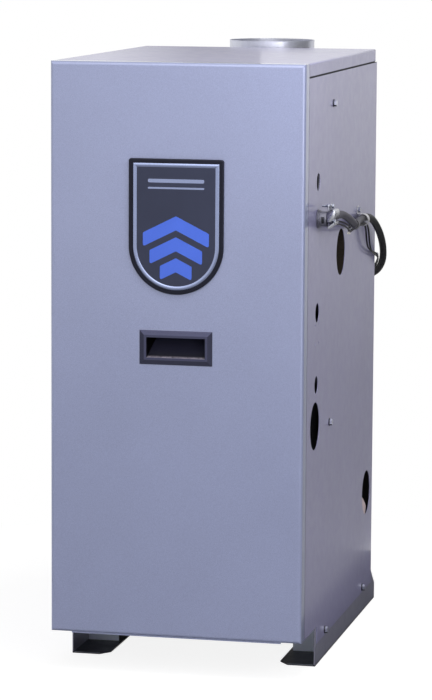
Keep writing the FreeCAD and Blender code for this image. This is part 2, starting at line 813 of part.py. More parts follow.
def side_panel(side, name):
    """A folded side: front and rear flanges, and a set-in lip along the top that carries the lid."""
    body = new_body(name)
    outline = [
        (FRAME_FRONT, "panel_bottom"), (FRAME_FRONT, SIDE_TOP), ("side_depth", SIDE_TOP),
        ("side_depth", "side_tab_bottom"), ("side_step_depth", "side_tab_bottom"),
        ("side_step_depth", "panel_bottom"),
    ]
    pad(body, "side", polygon(outline), mirrored(side, INNER, HALF))
    flange = mirrored(side, "(%s - side_flange)" % HALF, "(%s - panel_sheet / 2)" % HALF)
    front = rectangle(flange, (FRAME_FRONT, "%s + panel_sheet" % FRAME_FRONT))
    pad(body, "top", polygon(front), ("panel_bottom", SIDE_TOP))
    rear = rectangle(flange, (REAR_FACE, "side_depth"))
    pad(body, "top", polygon(rear), ("rail_height + rail_sheet", SIDE_TOP))
    step = mirrored(side, "(%s - panel_sheet - fit_clearance)" % INNER, "(%s - panel_sheet / 2)" % HALF)
    lip = mirrored(side, "(%s - panel_sheet - fit_clearance)" % INNER, "(%s - fit_clearance)" % INNER)
    lid_inside = ("%s + panel_sheet * 2" % FRAME_FRONT, "lid_depth - panel_sheet * 2")
    pad(body, "front", polygon(rectangle(step, ("%s - panel_sheet" % SIDE_TOP, SIDE_TOP))), lid_inside)
    pad(body, "front", polygon(rectangle(lip, ("%s - panel_sheet" % SIDE_TOP, LID_UNDER))), lid_inside)
    wall = mirrored(side, "(%s - panel_sheet)" % HALF, "(%s + panel_sheet)" % HALF)
    pocket(body, "side", circles(SIDE_SCREWS + FOOT_SCREWS, SCREW_HOLE), wall)
    stud_eyes = circles([("(%d) * %s" % (side, STUD_ACROSS), height) for height in STUD_HEIGHTS],
                        "stud_eye_radius")
    pocket(body, "front", stud_eyes, (FRAME_FRONT, "%s + panel_sheet" % FRAME_FRONT))
    rear_eyes = circles([("(%d) * %s" % (side, REAR_SCREW_ACROSS), height)
                         for height in REAR_SCREW_HEIGHTS], SCREW_HOLE)
    pocket(body, "front", rear_eyes, (REAR_FACE, "side_depth"))
    if side > 0:
        punch_right_side(body, wall)
    return node(body)


def punch_right_side(body, wall):
    """The right side's pipe, wiring and mounting holes."""
    pipes = [("supply_depth", "supply_height"), ("gas_depth", "gas_height"),
             ("return_depth", "return_height")]
    pocket(body, "side", circles(pipes, "pipe_hole_radius"), wall)
    wiring = [("wiring_hole_depth", "upper_wiring_height"), ("lower_wiring_depth", "lower_wiring_height")]
    pocket(body, "side", circles(wiring, "wiring_hole_radius"), wall)
    switch = [("wiring_hole_depth", "switch_hole_height")]
    pocket(body, "side", circles(switch, "switch_hole_radius"), wall)
    plate = [("wiring_hole_depth + (%d) * plate_hole_pitch_depth / 2" % i,
              "plate_hole_height + (%d) * plate_hole_pitch_height / 2" % j)
             for i in (-1, 1) for j in (-1, 1)]
    pocket(body, "side", circles(plate, "plate_hole_radius"), wall)
    pocket(body, "side", circles([("connector_depth", "connector_height")], "connector_hole_radius"), wall)
    pocket(body, "side", circles([("clip_depth", "clip_screw_height")], SCREW_HOLE), wall)


def rear_panel():
    """The back sheet, with a forward flange that closes the gap behind the lid and the flue's opening."""
    body = new_body("rear_panel")
    half = "(%s - rear_panel_inset)" % INNER
    sheet_front = "(side_depth - panel_sheet * 2)"
    face = polygon(rectangle(("-" + half, half), ("rail_height + rail_sheet", LID_UNDER)))
    pad(body, "front", face, (sheet_front, REAR_FACE))
    flange = polygon(rectangle(("-" + half, half), ("%s - panel_sheet" % LID_UNDER, LID_UNDER)))
    pad(body, "front", flange, ("lid_depth + fit_clearance", REAR_FACE))
    opening = rectangle(("-(duct_half_width + fit_clearance)", "duct_half_width + fit_clearance"),
                        (DUCT_BOTTOM + " - fit_clearance", DUCT_TOP + " + fit_clearance"))
    pocket(body, "front", polygon(opening), (sheet_front, REAR_FACE))
    eyes = [("(%d) * %s" % (side, REAR_SCREW_ACROSS), height)
            for side in (-1, 1) for height in REAR_SCREW_HEIGHTS]
    tabs = [("(%d) * %s" % (side, HOOD_TAB_ACROSS), height)
            for side in (-1, 1) for height in HOOD_TAB_HEIGHTS]
    pocket(body, "front", circles(eyes + tabs, SCREW_HOLE), (sheet_front, REAR_FACE))
    return node(body)


def base_pan():
    """A shallow tray between the foot rails that carries the burner box."""
    front = "(%s + panel_sheet + fit_clearance)" % FRAME_FRONT
    rear = "(side_depth - panel_sheet * 2 - fit_clearance)"
    tray = box("pan_tray", ("-" + WEB_INNER, WEB_INNER), (front, rear),
               ("panel_bottom", "panel_bottom + pan_flange"))
    hollow = box("pan_hollow", ("-(%s - panel_sheet)" % WEB_INNER, "%s - panel_sheet" % WEB_INNER),
                 ("%s + panel_sheet" % front, "%s - panel_sheet" % rear),
                 ("panel_bottom + panel_sheet", "panel_bottom + pan_flange + cut_margin"))
    return node(cut("base_pan", tray, [hollow]))


def partition():
    """The inner sheet between the front compartment and the sections, screwed to both sides."""
    body = new_body("partition")
    half = "(%s)" % INNER
    face = polygon(rectangle(("-" + half, half), ("partition_bottom", "partition_top")))
    pad(body, "front", face, ("partition_depth", "partition_depth + panel_sheet"))
    for side in (-1, 1):
        across = mirrored(side, "(%s - panel_sheet)" % INNER, INNER)
        flange = polygon(rectangle(across, ("partition_bottom", "partition_top")))
        pad(body, "front", flange, ("partition_depth", "partition_depth + partition_flange"))
        wall = mirrored(side, "(%s - panel_sheet * 2)" % INNER, "(%s + panel_sheet)" % INNER)
        pocket(body, "side", circles(SIDE_SCREWS, SCREW_HOLE), wall)
    foot = rectangle(("-" + half, half), ("partition_bottom", "partition_bottom + panel_sheet"))
    pad(body, "front", polygon(foot), ("partition_depth", "partition_depth + partition_flange"))
    return node(body)


def side_insulation():
    """Glass-fibre boards glued inside the two side panels."""
    front = "(partition_depth + partition_flange + insulation_gap)"
    rear = "(side_depth - panel_sheet * 2 - insulation_gap)"
    height = ("partition_bottom", "partition_top")
    left_span = mirrored(-1, "(%s - insulation_thickness)" % INNER, INNER)
    left = box("left_board", left_span, (front, rear), height)
    span = mirrored(1, "(%s - insulation_thickness)" % INNER, INNER)
    blank = box("right_blank", span, (front, rear), height)
    supply = rod("board_supply_hole", "x", ("supply_depth", "supply_height"), "pipe_hole_radius", span)
    screw = rod("board_screw_hole", "x", ("clip_depth", "clip_screw_height"),
                "screw_radius + insulation_hole_clearance", span)
    right = cut("right_board", blank, [supply, screw])
    return node(together("side_insulation", [left, right]))


# Foot rails

def foot_rail(side, name):
    """An angle: an upright web, a foot flange turned inwards, and a gusset under the base pan."""
    body = new_body(name)
    web = [
        ("rail_front", "0"), ("rail_front", "rail_height"), ("rail_slope_start", "rail_height"),
        ("rail_rear", "rail_rear_height"), ("rail_rear", "0"),
    ]
    pad(body, "side", polygon(web), mirrored(side, WEB_INNER, INNER))
    inner = "(%d) * (%s - rail_flange)" % (side, INNER)
    nipped = "(%d) * (%s - rail_flange + rail_corner_across)" % (side, INNER)
    outer = "(%d) * %s" % (side, INNER)
    foot = [
        (outer, "rail_front"), (nipped, "rail_front"), (inner, "rail_front + rail_corner_along"),
        (inner, "rail_rear"), (outer, "rail_rear"),
    ]
    pad(body, "top", polygon(foot), ("0", "rail_sheet"))
    gusset = rectangle(mirrored(side, "(%s - rail_flange + gusset_inset)" % INNER, INNER),
                       ("0", "panel_bottom"))
    pad(body, "front", polygon(gusset), ("gusset_depth", "gusset_depth + rail_sheet"))
    wall = mirrored(side, "(%s - panel_sheet)" % WEB_INNER, "(%s + panel_sheet)" % INNER)
    pocket(body, "side", circles(FOOT_SCREWS, SCREW_HOLE), wall)
    return node(body)


# Screws

def screw(name, axis, centre, face, outward, kind="screw"):
    """A hex-washer screw of one kind, driven against a face."""
    flats, head_height, rim, flange = (kind + part for part in ("_flats", "_head", "_washer_radius", "_washer"))

    def span(near, far):
        ends = ["(%s) + (%d) * (%s)" % (face, outward, place) for place in (near, far)]
        return ends if outward > 0 else ends[::-1]
    washer = rod(name + "_washer", axis, centre, rim, span("0", flange))
    head = hexagon(name + "_head", axis, centre, flats, span(flange + " / 2", flange + " + " + head_height))
    shank = rod(name + "_shank", axis, centre, "screw_radius", span("-screw_length", flange + " / 2"))
    return join(name, [washer, head, shank])


def cabinet_screws():
    """Screws through the side panels, the rear flanges and the hood's tabs."""
    screws = []
    for side in (-1, 1):
        for place in SIDE_SCREWS + FOOT_SCREWS:
            face = "(%d) * %s" % (side, HALF)
            screws.append(screw("screw_%d" % len(screws), "x", place, face, side))
        for height in REAR_SCREW_HEIGHTS:
            centre = ("(%d) * %s" % (side, REAR_SCREW_ACROSS), height)
            screws.append(screw("screw_%d" % len(screws), "y", centre, "side_depth", 1))
        for height in HOOD_TAB_HEIGHTS:
            centre = ("(%d) * %s" % (side, HOOD_TAB_ACROSS), height)
            face = "%s + flue_sheet" % REAR_FACE
            screws.append(screw("screw_%d" % len(screws), "y", centre, face, 1))
    return node(together("cabinet_screws", screws))


# Cast-iron sections

SECTION_NAMES = ["left_end_section", "left_middle_section", "right_middle_section", "right_end_section"]
NIPPLE_HEIGHTS = ["(section_bottom + nipple_inset)", "(section_top - nipple_inset)"]
TIE_RODS = [
    ("section_front + tie_rod_inset", "section_bottom + tie_rod_inset"),
    ("section_front + tie_rod_inset", "section_top - tie_rod_inset"),
    ("section_rear - tie_rod_inset", "section_bottom + tie_rod_inset"),
    ("section_rear - tie_rod_inset", "section_top - tie_rod_inset"),
]
STACK_HALF = "(section_thickness * 2)"


def cast_section(index, name):
    """One section: water round its edge, flueway recesses on its inner faces, ports and tie-rod holes."""
    body = new_body(name)
    left = "(section_thickness * (%d))" % (index - 2)
    right = "(section_thickness * (%d))" % (index - 1)
    depth = ("section_front", "section_rear")
    height = ("section_bottom", "section_top")
    pad(body, "side", polygon(rectangle(depth, height)), (left, right))
    flueway = rectangle(("section_front + flueway_margin", "section_rear - flueway_margin"),
                        ("section_bottom + flueway_floor", "section_top - flueway_floor"))
    if index > 0:
        pocket(body, "side", polygon(flueway), (left, "%s + flueway_recess" % left))
    if index < len(SECTION_NAMES) - 1:
        pocket(body, "side", polygon(flueway), ("%s - flueway_recess" % right, right))
    port_span = (
        left if index > 0 else "%s - section_thickness / 2" % right,
        right if index < len(SECTION_NAMES) - 1 else "%s + section_thickness / 2" % left,
    )
    ports = circles([("nipple_depth + nipple_radius", height) for height in NIPPLE_HEIGHTS],
                    "nipple_radius + press_clearance")
    pocket(body, "side", ports, port_span)
    if index == len(SECTION_NAMES) - 1:
        supply = circles([("supply_depth", "supply_height")], "supply_boss_radius")
        pad(body, "side", supply, (right, "%s + supply_boss_length" % right))
        tapping = circles([("supply_depth", "supply_height")], "water_thread_radius")
        end = "(%s + supply_boss_length)" % right
        pocket(body, "side", tapping, ("%s - water_thread_length" % end, end))
        leg = circles([("section_thickness * 3 / 2", "return_depth")], "header_leg_radius + fit_clearance")
        pocket(body, "top", leg, ("section_bottom", "section_bottom + header_leg_socket"))
    pocket(body, "side", circles(TIE_RODS, "tie_rod_radius + fit_clearance"), (left, right))
    return node(body)


def push_nipples():
    """Steel rings pressed between the sections' ports."""
    rings = []
    for joint in (-1, 0, 1):
        for height in NIPPLE_HEIGHTS:
            name = "nipple_%d" % len(rings)
            place = ("nipple_depth + nipple_radius", height)
            middle = "section_thickness * (%d)" % joint
            span = ("%s - nipple_length / 2" % middle, "%s + nipple_length / 2" % middle)
            ring = rod(name + "_ring", "x", place, "nipple_radius", span)
            bore = rod(name + "_bore", "x", place, "nipple_radius - nipple_wall", span)
            rings.append(cut(name, ring, [bore]))
    return node(together("push_nipples", rings))


def tie_rods():
    """The rods that draw the sections together, with a nut at each end."""
    end = "(%s + tie_rod_overhang)" % STACK_HALF
    rods = [rod("tie_rod_%d" % i, "x", place, "tie_rod_radius", ("-" + end, end))
            for i, place in enumerate(TIE_RODS)]
    nuts = []
    for side in (-1, 1):
        for place in TIE_RODS:
            name = "tie_nut_%d" % len(nuts)
            span = mirrored(side, STACK_HALF, "(%s + tie_nut_length)" % STACK_HALF)
            blank = hexagon(name + "_blank", "x", place, "tie_nut_flats", span)
            bore = rod(name + "_bore", "x", place, "tie_rod_radius + press_clearance", span)
            nuts.append(cut(name, blank, [bore]))
    return node(together("tie_rods", rods + nuts))


def return_header():
    """The return pipe behind the burner box, with a leg up into the right end section."""
    place = ("return_depth", "return_height")
    pipe = rod("header_pipe", "x", place, "header_radius", ("-header_left_end", "header_end"))
    leg = rod("header_leg", "z", ("section_thickness * 3 / 2", "return_depth"), "header_leg_radius",
              ("return_height", "section_bottom + header_leg_socket"))
    body = join("header_body", [pipe, leg])
    bore = rod("header_bore", "x", place, "water_thread_radius",
               ("header_end - water_thread_length", "header_end"))
    return node(cut("return_header", body, [bore]))


# Flue

DUCT_BOTTOM = "(section_top + collector_height - duct_height)"
DUCT_TOP = "(section_top + collector_height)"


def flue_collector():
    """The sheet hood on the sections, with a duct through the rear panel."""
    wall = "flue_sheet"
    duct_end = "(%s + duct_reach)" % REAR_FACE
    hood = box("collector_outer", ("-collector_half_width", "collector_half_width"),
               ("section_front", "section_rear"), ("section_top", DUCT_TOP))
    duct = box("collector_duct", ("-duct_half_width", "duct_half_width"),
               ("section_rear - duct_start_inset", duct_end), (DUCT_BOTTOM, DUCT_TOP))
    inside = box("collector_inside",
                 ("-(collector_half_width - %s)" % wall, "collector_half_width - %s" % wall),
                 ("section_front + %s" % wall, "section_rear - %s" % wall),
                 ("section_top", "%s - %s" % (DUCT_TOP, wall)))
    passage = box("collector_passage", ("-(duct_half_width - %s)" % wall, "duct_half_width - %s" % wall),
                  ("section_rear - duct_start_inset", duct_end),
                  ("%s + %s" % (DUCT_BOTTOM, wall), "%s - %s" % (DUCT_TOP, wall)))
    return node(cut("flue_collector", join("collector_blank", [hood, duct]), [inside, passage]))


def draft_hood():
    """The box on the rear panel: the duct opens into its front, its bottom is open to the room."""
    inner = "(hood_half_width - flue_sheet)"
    shell = box("hood_shell", ("-hood_half_width", "hood_half_width"), (REAR_FACE, "hood_rear"),
                ("hood_bottom", "hood_top"))
    tabs = [box("hood_tab_%d" % (side > 0), mirrored(side, inner, "hood_half_width + hood_tab"),
                (REAR_FACE, "%s + flue_sheet" % REAR_FACE), ("hood_bottom", "hood_top"))
            for side in (-1, 1)]
    inside = box("hood_inside", ("-" + inner, inner),
                 ("%s + flue_sheet" % REAR_FACE, "hood_rear - flue_sheet"),
                 ("hood_bottom", "hood_top - flue_sheet"))
    throat = box("hood_throat", ("-(duct_half_width + fit_clearance)", "duct_half_width + fit_clearance"),
                 (REAR_FACE, "%s + flue_sheet" % REAR_FACE),
                 ("%s - fit_clearance" % DUCT_BOTTOM, "%s + fit_clearance" % DUCT_TOP))
    outlet = rod("hood_outlet", "z", ("0", "collar_depth"), "collar_radius - collar_sheet",
                 ("hood_top - flue_sheet", "hood_top"))
    eyes = [rod("hood_eye_%d" % i, "y", ("(%d) * %s" % (side, HOOD_TAB_ACROSS), height), SCREW_HOLE,
                (REAR_FACE, "%s + flue_sheet" % REAR_FACE))
            for i, (side, height) in enumerate((s, h) for s in (-1, 1) for h in HOOD_TAB_HEIGHTS)]
    blank = join("hood_blank", [shell, plug_bracket()] + tabs)
    return node(cut("draft_hood", blank, [inside, throat, outlet] + eyes))


def draft_hood_baffle():
    """The slanting plate inside the hood, welded to its side walls."""
    body = new_body("draft_hood_baffle")
    plate = [
        ("baffle_front", "baffle_high"), ("baffle_rear", "baffle_low"),
        ("baffle_rear", "baffle_low + flue_sheet"), ("baffle_front", "baffle_high + flue_sheet"),
    ]
    inner = "(hood_half_width - flue_sheet)"
    pad(body, "side", polygon(plate), ("-" + inner, inner))
    return node(body)


def flue_collar():
    """The round vent collar on the hood, with a seating flange."""
    centre = ("0", "collar_depth")
    span = ("hood_top", "hood_top + collar_height")
    tube = rod("collar_tube", "z", centre, "collar_radius", span)
    seat = rod("collar_seat", "z", centre, "collar_radius + collar_flange",
               ("hood_top", "hood_top + flue_sheet"))
    bore = rod("collar_bore", "z", centre, "collar_radius - collar_sheet", span)
    return node(cut("flue_collar", join("collar_blank", [tube, seat]), [bore]))


# Burners

PAN_FLOOR = "(panel_bottom + panel_sheet)"
BURNER_HOLE = "(burner_radius + fit_clearance)"
PILOT_FOOT = "(burner_height + burner_radius)"
PILOT_ENTRY = "(burner_height + burner_radius + pilot_entry_rise)"


def burner_box():
    """The combustion box under the sections: four walls, with burner holes and an access opening."""
    inner = "(burner_box_half_width - burner_box_sheet)"
    shell = box("burner_box_shell", ("-burner_box_half_width", "burner_box_half_width"),
                ("burner_box_front", "burner_box_rear"), (PAN_FLOOR, "section_bottom"))
    inside = box("burner_box_inside", ("-" + inner, inner),
                 ("burner_box_front + burner_box_sheet", "burner_box_rear - burner_box_sheet"),
                 (PAN_FLOOR, "section_bottom"))
    front_wall = ("burner_box_front", "burner_box_front + burner_box_sheet")
    holes = [rod("burner_hole_%d" % i, "y", ("(%d) * section_thickness" % place, "burner_height"),
                 BURNER_HOLE, front_wall) for i, place in enumerate(BURNER_PLACES.values())]
    holes.append(rod("pilot_hole", "y", ("pilot_across", PILOT_ENTRY),
                     "pilot_tube_radius + pilot_hole_clearance", front_wall))
    window = box("access_window", ("-(access_half_width - access_lap)", "access_half_width - access_lap"),
                 front_wall, ("access_bottom + access_lap", "access_top - access_lap"))
    return node(cut("burner_box", shell, [inside, window] + holes))


def base_liner():
    """The ceramic-fibre board on the burner box's floor."""
    inner = "(burner_box_half_width - burner_box_sheet - fit_clearance)"
    near = "(burner_box_sheet + fit_clearance)"
    return node(box("base_liner", ("-" + inner, inner),
                    ("burner_box_front + %s" % near, "burner_box_rear - %s" % near),
                    (PAN_FLOOR, "%s + liner_thickness" % PAN_FLOOR)))


def burner(name, place):
    """A tube burner with a flared mouth, closed at the rear, slotted along its top."""
    middle = "((%d) * section_thickness)" % place
    centre = (middle, "burner_height")
    mouth_end = "(burner_front + burner_mouth_length)"
    tube = rod(name + "_tube", "y", centre, "burner_radius", (mouth_end, "burner_rear"))
    flare = taper(name + "_flare", "y", centre, ("burner_mouth_radius", "burner_radius"),
                  ("burner_front", mouth_end))
    bore = rod(name + "_bore", "y", centre, "burner_radius - burner_wall",
               (mouth_end, "burner_rear - burner_wall"))
    funnel = taper(name + "_funnel", "y", centre,
                   ("burner_mouth_radius - burner_wall", "burner_radius - burner_wall"),
                   ("burner_front", mouth_end))
    last = size("burner_rear") - size("burner_radius")
    count = int((last - size("burner_slot_first")) // size("burner_slot_pitch"))
    slots = []
    for i in range(count):
        start = "burner_slot_first + %d * burner_slot_pitch" % i
        across = ("%s - burner_slot_half_length" % middle, "%s + burner_slot_half_length" % middle)
        slots.append(box("%s_slot_%d" % (name, i), across, (start, "%s + burner_slot_width" % start),
                         ("burner_height + burner_slot_rise",
                          "burner_height + burner_radius + cut_margin")))
    blank = join(name + "_blank", [tube, flare])
    return node(cut(name, blank, [join(name + "_hollow", [bore, funnel])] + slots))


def burner_access_panel():
    """The cover over the burner box's access opening, with a sight hole."""
    plate = box("access_plate", ("-access_half_width", "access_half_width"),
                ("burner_box_front - burner_box_sheet", "burner_box_front"),
                ("access_bottom", "access_top"))
    sight = rod("access_sight", "y", ("0", "(access_bottom + access_top) / 2"), "sight_hole_radius",
                ("burner_box_front - burner_box_sheet", "burner_box_front"))
    return node(cut("burner_access_panel", plate, [sight]))


# Gas train

def gas_manifold():
    """The manifold pipe across the burners' mouths, tapped for its orifices and its riser."""
    place = ("manifold_depth", "burner_height")
    pipe = rod("manifold_pipe", "x", place, "manifold_radius",
               ("-manifold_half_length", "manifold_half_length"))
    caps = [rod("manifold_cap_%d" % (side > 0), "x", place, "manifold_radius + manifold_cap_wall",
                mirrored(side, "manifold_half_length", "(manifold_half_length + manifold_radius)"))
            for side in (-1, 1)]
    saddle = rod("manifold_saddle", "y", ("riser_across", "burner_height"), "elbow_radius",
                 ("manifold_depth - elbow_radius", "manifold_depth"))
    return node(join("gas_manifold", [pipe, saddle] + caps))


def gas_orifices():
    """A brass orifice for each burner, screwed into the manifold."""
    spuds = []
    face = "(manifold_depth + manifold_radius)"
    for place in BURNER_PLACES.values():
        name = "orifice_%d" % len(spuds)
        centre = ("(%d) * section_thickness" % place, "burner_height")
        head = hexagon(name + "_hex", "y", centre, "orifice_flats", (face, "%s + orifice_hex" % face))
        nose = taper(name + "_nose", "y", centre, ("orifice_nose_radius", "orifice_tip_radius"),
                     ("%s + orifice_hex / 2" % face, "%s + orifice_length" % face))
        spuds.append(join(name, [head, nose]))
    return node(together("gas_orifices", spuds))


VALVE_OUTLET = "(valve_left - valve_boss_length)"


def manifold_riser():
    """The pipe and elbows from the gas valve's outlet down to the manifold."""
    column = ("riser_across", "gas_depth")
    top = rod("riser_top", "x", ("gas_depth", "gas_height"), "riser_radius", ("riser_across", VALVE_OUTLET))
    drop = rod("riser_drop", "z", column, "riser_radius", ("burner_height", "gas_height"))
    foot = rod("riser_foot", "y", ("riser_across", "burner_height"), "riser_radius",
               ("gas_depth", "manifold_depth - elbow_radius"))
    elbows = [ball("riser_elbow_%d" % i, ("riser_across", "gas_depth", height), "elbow_radius")
              for i, height in enumerate(("burner_height", "gas_height"))]
    return node(join("manifold_riser", [top, drop, foot] + elbows))


VALVE_TOP = "(gas_height + valve_height_size / 2)"
KNOB_CENTRE = ("(valve_left + valve_right) / 2", "gas_depth")


def gas_valve():
    """The combination gas valve, with a tapped inlet facing the right side's gas hole."""
    body = box("valve_block", ("valve_left", "valve_right"),
               ("gas_depth - valve_depth_size / 2", "gas_depth + valve_depth_size / 2"),
               ("gas_height - valve_height_size / 2", VALVE_TOP))
    place = ("gas_depth", "gas_height")
    inlet = rod("valve_inlet", "x", place, "valve_boss_radius",
                ("valve_right", "valve_right + valve_boss_length"))
    outlet = rod("valve_outlet", "x", place, "valve_boss_radius", (VALVE_OUTLET, "valve_left"))
    tapping = rod("valve_tapping", "x", place, "gas_thread_radius",
                  ("valve_right + valve_boss_length - gas_thread_length",
                   "valve_right + valve_boss_length"))
    stem = rod("valve_stem_hole", "z", KNOB_CENTRE, "knob_stem_radius + fit_clearance",
               ("%s - knob_stem_length - fit_clearance" % VALVE_TOP, VALVE_TOP))
    return node(cut("gas_valve", join("valve_blank", [body, inlet, outlet]), [tapping, stem]))


def gas_valve_knob():
    """The on and off knob on top of the valve, with a grip bar."""
    base = "(%s + fit_clearance)" % VALVE_TOP
    skirt = rod("knob_skirt", "z", KNOB_CENTRE, "knob_radius",
                (base, "%s + knob_height - knob_grip" % base))
    middle = KNOB_CENTRE[0]
    grip = box("knob_grip_bar",
               ("%s - knob_grip_half_length" % middle, "%s + knob_grip_half_length" % middle),
               ("gas_depth - knob_grip / 2", "gas_depth + knob_grip / 2"),
               (base, "%s + knob_height" % base))
    stem = rod("knob_stem", "z", KNOB_CENTRE, "knob_stem_radius",
               ("%s - knob_stem_length" % VALVE_TOP, base))
    return node(join("gas_valve_knob", [skirt, grip, stem]))


def pilot_burner():
    """The pilot and its bracket inside the burner box."""
    depth = "(burner_box_front + burner_box_sheet + pilot_setback)"
    centre = ("pilot_across", depth)
    foot = PILOT_FOOT
    tube = rod("pilot_body", "z", centre, "pilot_radius", (foot, "%s + pilot_height" % foot))
    bracket = box("pilot_bracket", ("pilot_across - pilot_radius", "pilot_across + pilot_radius"),
                  ("burner_box_front + burner_box_sheet", depth),
                  (foot, "%s + burner_box_sheet" % foot))
    return node(join("pilot_burner", [tube, bracket]))


def pilot_route():
    """Straight down from the valve, round to the burner box and straight in to the pilot."""
    outlet = FreeCAD.Vector(size("valve_left") + size("pilot_outlet_inset"), size("gas_depth"),
                            size("gas_height") - size("valve_height_size") / 2)
    inlet_depth = (size("burner_box_front") + size("burner_box_sheet") + size("pilot_setback")
                   - size("pilot_radius"))
    inlet_height = size("burner_height") + size("burner_radius") + size("pilot_entry_rise")
    inlet = FreeCAD.Vector(size("pilot_across"), inlet_depth, inlet_height)
    first = outlet - FreeCAD.Vector(0, 0, size("pilot_tube_end"))
    last = inlet - FreeCAD.Vector(0, size("pilot_tube_end"), 0)
    way = last - first
    bends = [first + FreeCAD.Vector(way.x * across, way.y * back, way.z * down)
             for across, back, down in PILOT_BENDS]
    return [tuple(point) for point in [outlet] + bends + [inlet]]


# Reset switches

def rollout_switch():
    """A round manual-reset thermal switch on the access panel."""
    centre = ("rollout_across", "rollout_height")
    face = "(burner_box_front - burner_box_sheet)"
    front = "(%s - reset_body_length)" % face
    can = rod("rollout_can", "y", centre, "reset_body_radius", (front, face))
    well = rod("rollout_well", "y", centre, "reset_button_radius + fit_clearance",
               (front, "%s + reset_well" % front))
    return node(cut("rollout_switch", can, [well]))


def rollout_reset_button():
    front = "(burner_box_front - burner_box_sheet - reset_body_length)"
    centre = ("rollout_across", "rollout_height")
    return node(rod("rollout_reset_button", "y", centre, "reset_button_radius",
                    ("%s - reset_button_proud" % front, "%s + reset_button_sunk" % front)))


SPILL_OUTER = "(hood_half_width + spill_thickness)"


def spill_switch():
    """The blocked-vent switch on the hood's right wall, above the open bottom."""
    block = box("spill_block", ("hood_half_width", SPILL_OUTER),
                ("spill_depth - spill_depth_size / 2", "spill_depth + spill_depth_size / 2"),
                ("spill_height - spill_height_size / 2", "spill_height + spill_height_size / 2"))
    well = rod("spill_well", "x", ("spill_depth", "spill_height"), "reset_button_radius + fit_clearance",
               ("%s - reset_well" % SPILL_OUTER, SPILL_OUTER))
    return node(cut("spill_switch", block, [well]))


def spill_reset_button():
    return node(rod("spill_reset_button", "x", ("spill_depth", "spill_height"), "reset_button_radius",
                    ("%s - reset_button_sunk" % SPILL_OUTER, "%s + reset_button_proud" % SPILL_OUTER)))


# Controls in the front compartment

def junction_box():
    """The wiring box inside the right side panel, open to the front."""
    shell = box("junction_shell", ("junction_inner", INNER), ("junction_front", "junction_rear"),
                ("junction_bottom", "junction_top"))
    inside = box("junction_inside", ("junction_inner + box_wall", "%s - box_wall" % INNER),
                 ("junction_front", "junction_rear - box_wall"),
                 ("junction_bottom + box_wall", "junction_top - box_wall"))
    wall = ("%s - box_wall" % INNER, INNER)
    knockout = rod("junction_knockout", "x", ("connector_depth", "connector_height"),
                   "connector_hole_radius", wall)
    upper = rod("junction_upper_hole", "x", ("wiring_hole_depth", "upper_wiring_height"),
                "wiring_hole_radius", wall)
    return node(cut("junction_box", shell, [inside, knockout, upper]))


def junction_cover():
    """The wiring box's flat front cover."""
    return node(box("junction_cover", ("junction_inner", INNER),
                    ("junction_front - box_wall", "junction_front"), ("junction_bottom", "junction_top")))


LIMIT_LEFT = "(limit_inset - cabinet_width / 2)"
LIMIT_RIGHT = "(limit_inset + limit_width - cabinet_width / 2)"
MODULE_LEFT = "(module_inset - cabinet_width / 2)"
MODULE_RIGHT = "(module_inset + module_width - cabinet_width / 2)"


def partition_box(name, left, right, bottom, top, depth):
    """A control housing on the partition's front."""
    return box(name, (left, right), ("partition_depth - (%s)" % depth, "partition_depth"), (bottom, top))


DIAL_CENTRE = ("((%s + %s) / 2)" % (LIMIT_LEFT, LIMIT_RIGHT), "(limit_bottom + limit_top) / 2")


def limit_control():
    """The limit control's housing, bored for its dial's shaft."""
    housing = partition_box("limit_housing", LIMIT_LEFT, LIMIT_RIGHT, "limit_bottom", "limit_top",
                            "limit_depth_size")
    front = "(partition_depth - limit_depth_size)"
    bore = rod("limit_bore", "y", DIAL_CENTRE, "dial_shaft_radius + fit_clearance",
               (front, "%s + dial_shaft_length + fit_clearance" % front))
    return node(cut("limit_control", housing, [bore]))


def limit_dial():
    """The temperature dial, with a grip bar and a shaft into the housing."""
    front = "(partition_depth - limit_depth_size - fit_clearance)"
    across, height = DIAL_CENTRE
    disc = rod("dial_disc", "y", DIAL_CENTRE, "dial_radius",
               ("%s - dial_height + dial_grip" % front, front))
    grip = box("dial_bar", ("%s - dial_grip / 2" % across, "%s + dial_grip / 2" % across),
               ("%s - dial_height" % front, front),
               ("%s - dial_grip_half_length" % height, "%s + dial_grip_half_length" % height))
    shaft = rod("dial_shaft", "y", DIAL_CENTRE, "dial_shaft_radius",
                (front, "%s + dial_shaft_length" % front))
    return node(join("limit_dial", [disc, grip, shaft]))


def ignition_module():
    return node(partition_box("ignition_module", MODULE_LEFT, MODULE_RIGHT, "module_bottom",
                              "module_top", "module_depth_size"))


def transformer():
    """A laminated core with its winding's bobbin showing at top and bottom."""
    core = partition_box("transformer_core", "transformer_left", "transformer_right",
                         "transformer_bottom + bobbin_rise", "transformer_top - bobbin_rise",
                         "transformer_depth_size")
    bobbin = partition_box("transformer_bobbin", "transformer_left + bobbin_inset",
                           "transformer_right - bobbin_inset", "transformer_bottom", "transformer_top",
                           "transformer_depth_size - bobbin_setback")
    return node(join("transformer", [core, bobbin]))


# Cable connector

CABLE_OUT = "(%s + connector_cable_out)" % HALF
TROUGH = "(harness_radius + fit_clearance)"
CLAMP_DEPTHS = ("connector_depth - connector_front", "connector_depth + connector_rear")
TROUGH_DEPTHS = ("connector_depth", "connector_depth + connector_rear")


